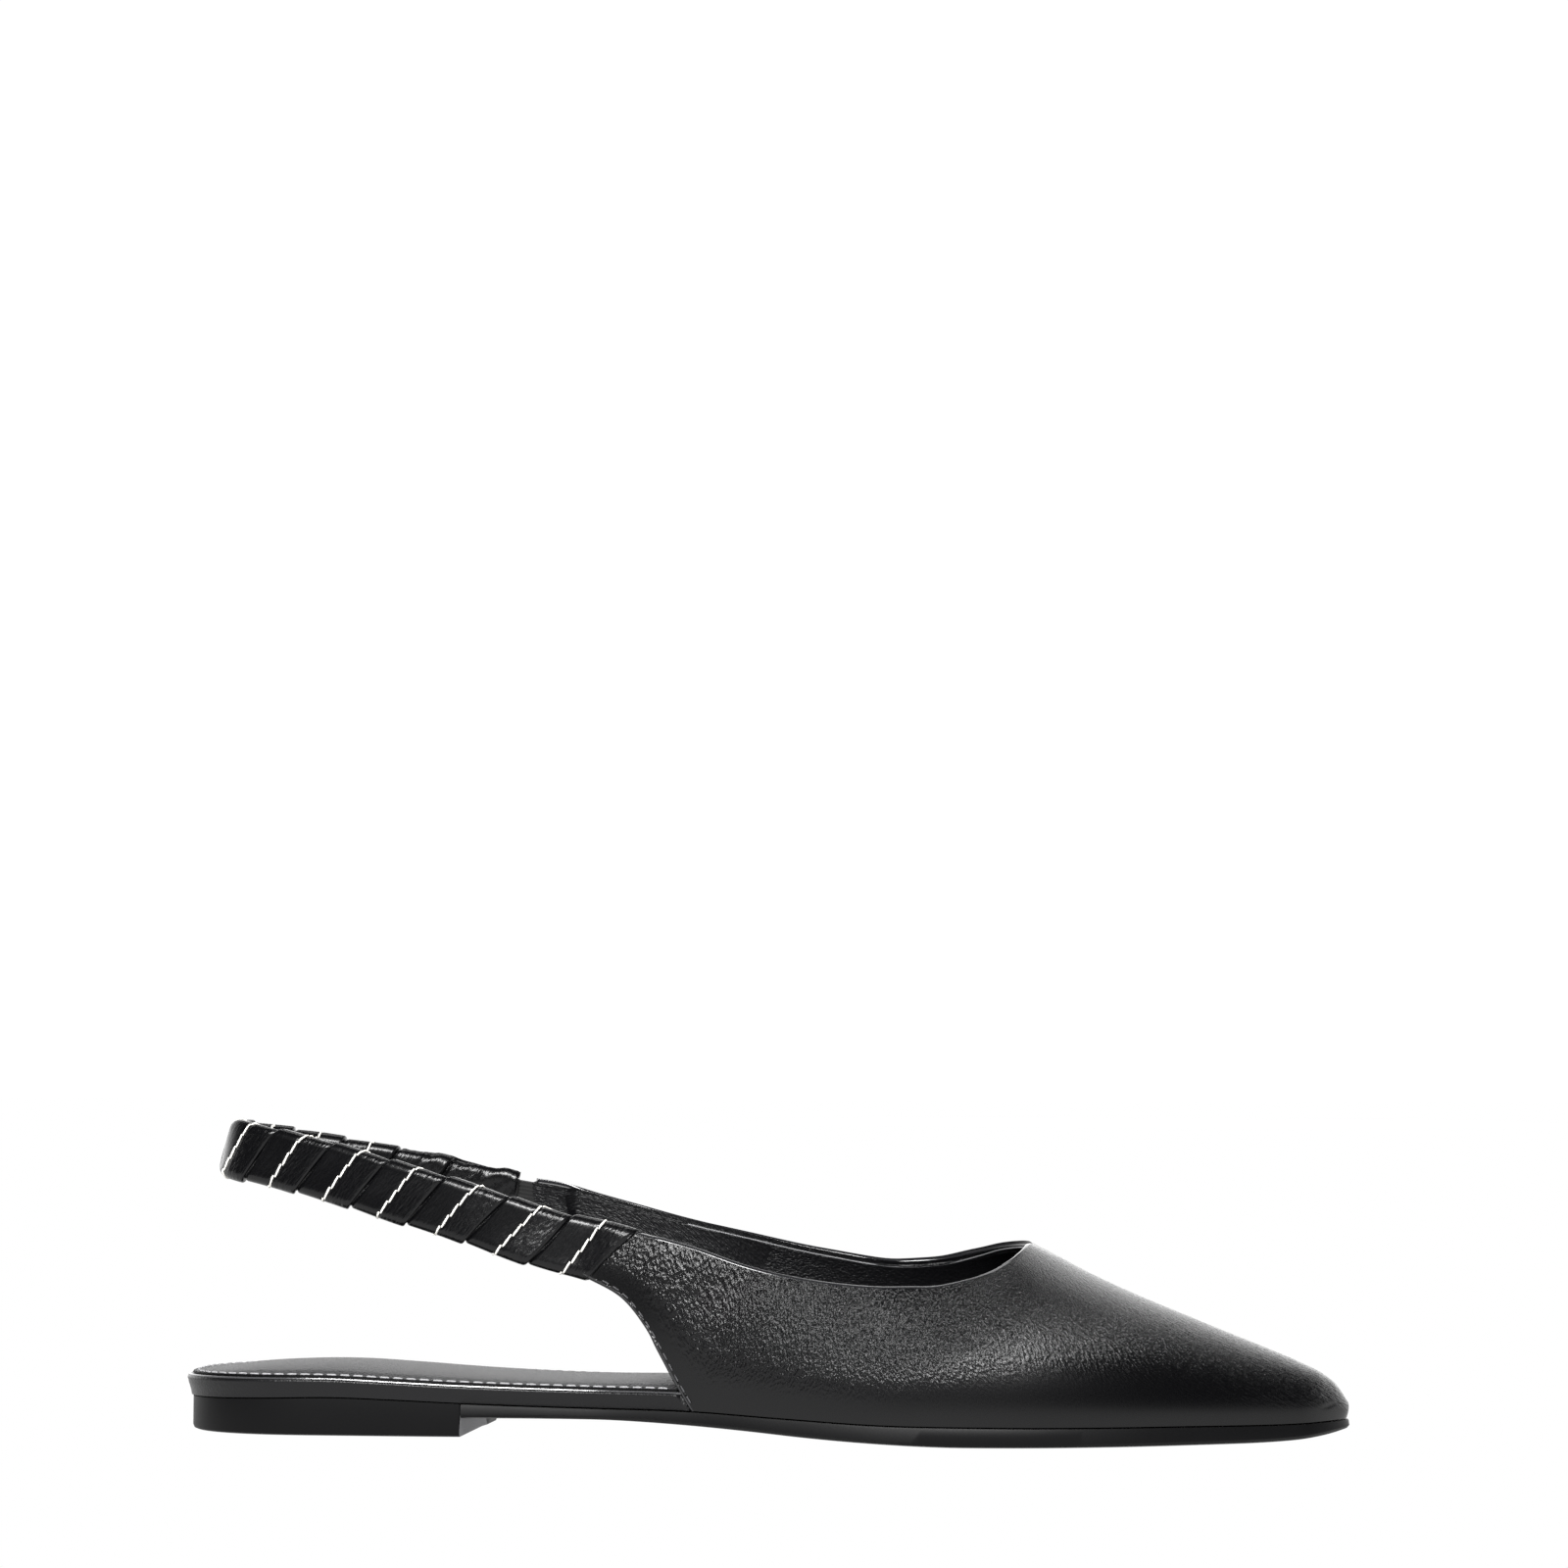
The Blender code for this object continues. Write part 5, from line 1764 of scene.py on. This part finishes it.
    def stadium(self, turn: Points, half_width: Points, half_thickness: Points) -> tuple[Points, Points]:
        """Section with two flat faces and round ends, by share of its perimeter from the middle of its top.

        Args:
            turn: Share of the perimeter.
            half_width: Half the band's width.
            half_thickness: Half its thickness.

        Returns:
            Places across the width and through the thickness.
        """
        turn, half_width, half_thickness = np.broadcast_arrays(turn % 1.0, half_width, half_thickness)
        flat = 2 * (half_width - half_thickness)
        arc = np.pi * half_thickness
        half_way = flat + arc
        gone = turn * 2 * half_way
        sign = np.where(gone > half_way, -1.0, 1.0)
        gone = np.where(gone > half_way, 2 * half_way - gone, gone)
        top, foot = gone < arc / 2, gone >= arc / 2 + flat
        top_angle = gone / half_thickness
        foot_angle = (gone - arc / 2 - flat) / half_thickness + np.pi / 2
        across = flat / 2 - (gone - arc / 2)
        across = np.where(top, flat / 2 + half_thickness * np.cos(top_angle), across)
        across = np.where(foot, -flat / 2 + half_thickness * np.cos(foot_angle), across)
        through = np.where(top, half_thickness * np.sin(top_angle), half_thickness)
        through = np.where(foot, half_thickness * np.sin(foot_angle), through)
        return across, sign * through

    def ring(self, distance: Points, turn: Points, half_width: Points, half_thickness: Points) -> Points:
        """Points on a rounded band round the centreline.

        Args:
            distance: Distances along the sling.
            turn: Share of the perimeter.
            half_width: Half the band's width.
            half_thickness: Half its thickness.

        Returns:
            The points.
        """
        point, width, outward = self.frame(distance)
        across, through = self.stadium(turn, half_width, half_thickness)
        return point + width * across[..., None] + outward * through[..., None]

    def build_core(self, elastic: Material) -> Piece:
        """Woven elastic along the whole curve, closed at both ends.

        Args:
            elastic: Material of the band.

        Returns:
            The elastic.
        """
        distance = np.linspace(self.core_cut, self.length - self.core_cut, self.core_rows + 1)[:, None]
        turn = np.linspace(0.0, 1.0, self.core_columns + 1)[None, :]
        points = self.ring(*np.broadcast_arrays(distance, turn), 0.5 * self.core_width, 0.5 * self.core_thickness)
        girth = 2 * (self.core_width - self.core_thickness) + math.pi * self.core_thickness
        grain = np.stack(np.broadcast_arrays(distance, turn * girth), axis=-1)
        sheets = [Modeller.sheet(points, elastic, grain)]
        half = self.core_columns // 2
        for ring in (points[0], points[-1]):
            sheets.append(Modeller.sheet(np.stack((ring[: half + 1], ring[half:][::-1])), elastic))
        return Modeller.join("elastic_band", sheets, 60.0)

    def place(self, turn: Points, ring: Points) -> Points:
        """Distance along the sling of a place on the helix; the two ends of the tape are cut square.

        Args:
            turn: Turns wound so far, without the share round the band.
            ring: Share round the band.

        Returns:
            Distances from the lateral end.
        """
        end = smooth_step(self.turns - 1.0, self.turns, turn) * smooth_step(0.0, 0.12, ring) * (1 - ring)
        start = (1 - smooth_step(0.0, 1.0, turn)) * 2 * np.maximum(0.0, ring - 0.5)
        start = start * (1 - smooth_step(0.9, 1.0, ring))
        slant = self.end_slant * np.sin(np.pi * ring) ** 2 * np.maximum(0.0, 1 - turn) ** 2
        return self.turn_ends(turn + ring + end - start) + slant

    def tape_surface(self, turn: Points, ring: Points, grow: Points) -> Points:
        """Points on the tape, a distance out from its bore.

        Args:
            turn: Turns wound so far.
            ring: Share round the band.
            grow: Distance from the bore.

        Returns:
            The points; over the lateral quarter the tape spreads to take the quarter in.
        """
        distance = self.place(turn, ring)
        flare = 1 - smooth_step(self.flare_start, self.flare_end, distance)
        half_width = 0.5 * self.core_width + self.extra_width + self.bore_gap + grow
        half_width = half_width + self.flare_wide * flare - self.last_drop * smooth_step(*self.last_turn, distance)
        half_thickness = 0.5 * self.core_thickness + self.bore_gap + grow + 0.5 * self.flare_out * flare
        point, width, outward = self.frame(distance)
        across, through = self.stadium(ring, half_width, half_thickness)
        shift = 0.5 * self.flare_out * flare
        return point + width * across[..., None] + outward * (through + shift)[..., None]

    def tape_growth(self, turn: Points, ring: Points) -> Points:
        """Height of the tape's face over its bore: rounded edges, a fold for the thread, and uneven lie.

        Args:
            turn: Turns wound so far.
            ring: Share round the band.

        Returns:
            Distances from the bore.
        """
        share = turn % 1.0
        drop = self.edge(share)
        loose = (turn < 0.5) & (share < 0.5) | (turn > self.turns - 0.5)
        drop = np.where(loose, np.minimum(drop, self.end_drop), drop)
        lie = self.step * np.cos(2 * np.pi * ring) * (2 * share - 1)
        swell = np.sin(2 * np.pi * (ring * 2 + self.swell_shift * np.floor(turn))) * np.sin(np.pi * share)
        fold = 0.0
        for depth, across, along, wander, wander_across, wander_along in self.wrinkles:
            phase = across * ring + along * share + wander * np.sin(wander_across * ring + wander_along * share)
            fold = fold + depth * np.sin(2 * np.pi * phase)
        crumpled = self.near_end(self.crumpled_end, turn, ring) * (1 - smooth_step(self.calm_from, 1.0, share))
        return np.maximum(self.least_tape, self.tape + lie + self.swell * swell - drop + fold * crumpled)

    def near_end(self, reach: Sequence[float], turn: Points, ring: Points) -> Points:
        """One on the last turn, where the tape lies loose, fading to zero over a reach in turns."""
        start, full = reach
        return smooth_step(self.turns - start, self.turns - full, turn + self.crumple_slant * ring)

    def build_wrap(self, leather: Material) -> Piece:
        """Tape wound as a helix, each turn with rounded edges against the next.

        Args:
            leather: Material of the leather.

        Returns:
            The tape.
        """
        profile = np.sort([row[0] for row in TAPE_EDGE] + list(TAPE_MIDDLE))
        count, turns = len(profile), self.turns
        shares = np.concatenate([profile + whole for whole in range(turns)] + [[turns - 1e-6]])
        ring = np.arange(self.round_columns + 1) / self.round_columns
        turn, around = np.meshgrid(shares, ring, indexing="ij")
        grow = self.tape_growth(turn, around)
        # The column past the last is the first one, a whole turn further on
        grow[:-count, -1] = grow[count:, 0]
        outer = self.tape_surface(turn, around, grow)
        bore = self.tape_surface(turn, around, 0 * grow)
        for surface in (outer, bore):
            surface[:-count, -1] = surface[count:, 0]
        girth = 2 * (self.core_width + math.pi * self.core_thickness)
        grain = np.stack((turn * self.pitch, (np.floor(turn) + around) * girth), axis=-1)
        share = turn % 1.0
        start, full, fade, end = self.wrinkled_band
        wrinkled = smooth_step(start, full, share) * (1 - smooth_step(fade, end, share))
        crumpled = self.near_end(self.crumpled_grain, turn, around)
        strength = self.plain_grain + (1 - self.plain_grain) * wrinkled + self.end_grain * crumpled
        body = slice(0, len(shares) - count)
        lip = slice(len(shares) - count - 1, len(shares))
        sheets = []
        for surface in (outer, bore):
            sheets.append(Modeller.sheet(surface[body], leather, grain[body], strength[body]))
            sheets.append(Modeller.sheet(surface[lip, :-1], leather, grain[lip, :-1], strength[lip, :-1]))
        top = len(shares) - count - 1
        borders = (
            (outer[0], bore[0]),
            (outer[-1, :-1], bore[-1, :-1]),
            (outer[: count + 1, 0], bore[: count + 1, 0]),
            (outer[top:, -2], bore[top:, -2]),
            (outer[top, -2:], bore[top, -2:]),
        )
        sheets += [Modeller.sheet(np.stack(border), leather) for border in borders]
        return Modeller.join("sling_tape", sheets, 45.0)

    def thread_line(self) -> tuple[Points, Points]:
        """Line of the stitches that runs in the middle of the tape.

        Returns:
            The line's points and the normals there.
        """
        first, last = self.thread_ends
        wound = np.linspace(first, self.turns - last, self.turns * 160)
        turn, around = np.floor(wound) + 0.5, wound % 1.0
        grow = self.tape_growth(turn, around)
        line = self.tape_surface(turn, around, grow)
        inner = self.tape_surface(turn, around, grow - 0.3 * MM)
        return line, unit(line - inner)


@dataclass(frozen=True)
class Studio:
    """Camera, floor and soft lights of the photo."""

    centre: tuple[float, float, float] = (0.099, 0.0, 0.027)
    distance: float = 1.004
    azimuth_deg: float = 6.0
    elevation_deg: float = 3.1
    roll_deg: float = 0.2
    lens_mm: float = 100.0
    sensor_mm: float = 36.0
    picture: float = 1600.0
    aim: tuple[float, float] = (778.0, 1339.1)
    floor_size: float = 14.0
    floor_front: float = 0.45
    floor_near: float = 0.22
    floor_far: float = 0.75
    floor_own_glow: float = 0.45
    background: float = 1.05
    wall_turn: tuple[float, float] = (0.1, 0.7)
    wall_top: tuple[float, float] = (0.62, 0.36)
    wall_glow: float = 2.4
    room_glow: float = 0.015

    def add_camera(self) -> None:
        """Puts the camera where the shoe's centre falls on the aimed place of the picture."""
        roll = math.radians(self.roll_deg)
        focal = self.lens_mm / self.sensor_mm * self.picture
        dx, dy = (place - self.picture / 2 for place in self.aim)
        yaw = math.atan((dx * math.cos(roll) + dy * math.sin(roll)) / focal)
        pitch = math.atan((dy * math.cos(roll) - dx * math.sin(roll)) / focal)
        facing = Matrix.Rotation(math.radians(self.azimuth_deg), 4, "Z")
        facing = facing @ Matrix.Rotation(math.radians(90 - self.elevation_deg), 4, "X")
        back = facing @ Vector((0.0, 0.0, self.distance))
        for angle, axis in ((pitch, "X"), (yaw, "Y"), (roll, "Z")):
            facing = facing @ Matrix.Rotation(angle, 4, axis)
        data = bpy.data.cameras.new("camera")
        data.lens, data.sensor_width = self.lens_mm, self.sensor_mm
        camera = bpy.data.objects.new("camera", data)
        camera.matrix_world = Matrix.Translation(Vector(self.centre) + back) @ facing
        bpy.context.scene.collection.objects.link(camera)
        bpy.context.scene.camera = camera

    def add_floor(self) -> None:
        """White floor with a faint gloss that runs out into the white background."""
        made = bpy.data.materials.new("floor_white")
        made.use_nodes = True
        tree = made.node_tree
        shader = tree.nodes["Principled BSDF"]
        shader.inputs["Base Color"].default_value = linear("f4f4f4")
        shader.inputs["Roughness"].default_value = 0.22
        shader.inputs["Specular IOR Level"].default_value = 0.12
        place = add_node(tree, "ShaderNodeTexCoord").outputs["Object"]
        reach = add_node(tree, "ShaderNodeVectorMath", {0: place}, operation="LENGTH").outputs["Value"]
        fade = add_node(
            tree,
            "ShaderNodeMapRange",
            {
                "Value": reach,
                "From Min": self.floor_near,
                "From Max": self.floor_far,
                "To Min": self.floor_own_glow,
                "To Max": 1.0,
            },
            interpolation_type="SMOOTHSTEP",
        )
        glow = add_node(tree, "ShaderNodeEmission", {"Color": (1, 1, 1, 1), "Strength": 1.0})
        mix = add_node(
            tree, "ShaderNodeMixShader", {0: fade.outputs["Result"], 1: shader.outputs[0], 2: glow.outputs[0]}
        )
        tree.links.new(mix.outputs[0], tree.nodes["Material Output"].inputs["Surface"])
        behind = self.floor_size / 2 - self.floor_front
        bpy.ops.mesh.primitive_plane_add(size=self.floor_size, location=(0.1, behind, 0.0))
        floor = bpy.context.object
        floor.name = "floor"
        floor.data.materials.append(made)

    def add_light(self, name: str, place: Sequence[float], size: Sequence[float], power: float) -> None:
        """Adds a soft box that faces the shoe.

        Args:
            name: Name of the light.
            place: Where it stands, in metres.
            size: Its width and height.
            power: Its power in watts.
        """
        data = bpy.data.lights.new(name, "AREA")
        data.shape = "RECTANGLE"
        data.size, data.size_y = size
        data.energy = power
        light = bpy.data.objects.new(name, data)
        light.location = place
        light.rotation_euler = (Vector(self.centre) - light.location).to_track_quat("-Z", "Y").to_euler()
        bpy.context.scene.collection.objects.link(light)

    def add_world(self) -> None:
        """White to the camera; to the shoe a dark room with a pale wall low behind it."""
        world = bpy.data.worlds.new("studio")
        bpy.context.scene.world = world
        world.use_nodes = True
        tree = world.node_tree
        tree.nodes.clear()
        ray = add_node(tree, "ShaderNodeLightPath").outputs["Is Camera Ray"]
        towards = add_node(tree, "ShaderNodeTexCoord").outputs["Generated"]
        parts = add_node(tree, "ShaderNodeSeparateXYZ", {0: towards})
        behind, low = (
            add_node(
                tree, "ShaderNodeMapRange", {"Value": parts.outputs[axis], "From Min": start, "From Max": full}
            ).outputs["Result"]
            for axis, (start, full) in (("Y", self.wall_turn), ("Z", self.wall_top))
        )
        wall = add_node(tree, "ShaderNodeMath", {0: behind, 1: low}, operation="MULTIPLY")
        level = add_node(
            tree, "ShaderNodeMath", {0: wall.outputs[0], 1: self.wall_glow, 2: self.room_glow}, operation="MULTIPLY_ADD"
        )
        room, white = (
            add_node(tree, "ShaderNodeBackground", {"Color": (1, 1, 1, 1), "Strength": strength}).outputs[0]
            for strength in (level.outputs[0], self.background)
        )
        mix = add_node(tree, "ShaderNodeMixShader", {0: ray, 1: room, 2: white})
        add_node(tree, "ShaderNodeOutputWorld", {"Surface": mix.outputs[0]})

    def build(self) -> None:
        """Builds the studio."""
        bpy.context.scene.view_settings.view_transform = "Standard"
        self.add_world()
        self.add_light("overhead", (0.15, 0.55, 1.0), (0.8, 0.25), 2.0)
        self.add_light("near_side", (0.12, -1.0, 0.72), (0.7, 0.26), 30.0)
        self.add_camera()
        self.add_floor()


def main() -> None:
    """Builds every piece around the CAD frame."""
    logging.basicConfig(level=logging.INFO, format="%(name)s %(message)s")
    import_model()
    bpy.ops.object.select_all(action="DESELECT")
    shape = ShoeShape()

    # Stretched calf: near black, a soft sheen and a fine grain that slants along the foot
    calf = LeatherFinish("smooth_upper_leather", "030304", "060607", 0.25, 0.52, 1.8, 0.26, 0.38)
    # Pigskin: duller than the calf, with a flat grain
    pigskin = LeatherFinish("pigskin_lining", "08080a", "0c0c0e", 0.40, 0.5, 1.8, 0.16, 0.3)
    # Rolled topline edge: lighter and glossier than the calf, a painted highlight for the thin line of light along it
    edge = LeatherFinish("topline_edge_painted_highlight", "1c1c1e", "242426", 0.16, 0.6, 1.5, 0.005, 0.7)
    # Lining's top edge: painted pale, a painted highlight where the edge catches the light
    cut = LeatherFinish("lining_edge_painted_highlight", "6a6a6c", "747476", 0.35, 0.5, 1.2, 0.01, 0.5)
    # Rand: finely grained leather, pulled tight over the board
    rand = LeatherFinish("fine_grain_rand", "0a0a0b", "0e0e10", 0.36, 0.4, 1.2, 0.05, 0.34)
    # Rolled line of the rand: pale and glossy, a painted highlight along the rand's rounded top, the brightest line of
    # the sole
    bead = LeatherFinish("rand_bead_painted_highlight", "3a3a3c", "4a4a4c", 0.16, 0.5, 1.2, 0.005, 0.9)
    # Sock: soft napped sheep leather, dark grey and almost matt
    soft = LeatherFinish("soft_sock_leather", "1c1c1e", "242426", 0.46, 0.45, 1.3, 0.14, 0.24)
    # Edge of the sock: painted black, a painted shade for the dark band under the stitches, without a shine
    sock_edge_shade = LeatherFinish("sock_edge_painted_shade", "040405", "060607", 0.6, 0.5, 1.2, 0.01, 0.1)
    # Tape: thin soft leather with long wrinkles across the turns
    tape = LeatherFinish("soft_tape_leather", "050506", "08080a", 0.27, 0.62, 2.6, 0.12, 0.36)
    # Rubber: satin black from the mould
    rubber = MouldedFinish("moulded_rubber", "050506", 0.5, 0.5, 0.01, 0.16)
    # Breast of the heel: the same rubber, roughened, so it looks grey and dusty
    breast = MouldedFinish("textured_breast", "7a7a7c", 0.8, 0.45, 0.15, 0.3)
    # Bonded threads: white on the tape, nearly black on the quarters; on the sock painted pale grey, a painted
    # highlight on a dark thread
    white = ThreadFinish("white_thread", "f6f4ee").material()
    grey = ThreadFinish("sock_thread_painted_highlight", "a6a6a8").material()
    dark = ThreadFinish("dark_thread", "444446").material()
    # Elastic: black weave that swallows the light
    elastic = ElasticFinish("woven_elastic", "0a0a0a")

    sole = SoleUnit(shape)
    upper = UpperShell(shape)
    sling = SlingBand(shape, upper)
    pieces = {
        "outsole": sole.build_outsole(rubber.material(), breast.material()),
        "footbed": sole.build_footbed(rand.material(), bead.material()),
        "insole_sock": sole.build_sock(soft.material(), sock_edge_shade.material()),
        "upper": upper.build(calf.material(), pigskin.material(), edge.material(), cut.material()),
        "sling_elastic": sling.build_core(elastic.material()),
        "sling_wrap": sling.build_wrap(tape.material()),
    }
    for node, piece in pieces.items():
        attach(piece, "root")
        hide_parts(node)

    quarter_row = ThreadRow(1.75 * MM, 0.36 * MM, 0.8 * MM, sink=0.1)
    sock_row = ThreadRow(2.2 * MM, 0.44 * MM, 0.8 * MM, sink=0.2)
    tape_row = ThreadRow(3.3 * MM, 0.52 * MM, -0.15 * MM, sink=0.1, slant_deg=8.5)
    threads = []
    for side in Side:
        word = side.name.lower()
        threads += [
            (quarter_row.lay(f"quarter_stitches_{word}", *upper.stitch_line(side), dark), "upper"),
            (sock_row.lay(f"sock_stitches_{word}", *sole.stitch_line(side), grey), "insole_sock"),
        ]
    threads.append((tape_row.lay("tape_stitches", *sling.thread_line(), white), "sling_wrap"))
    for piece, slot in threads:
        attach(piece, "root")

    Studio().build()


if __name__ == "__main__":
    main()
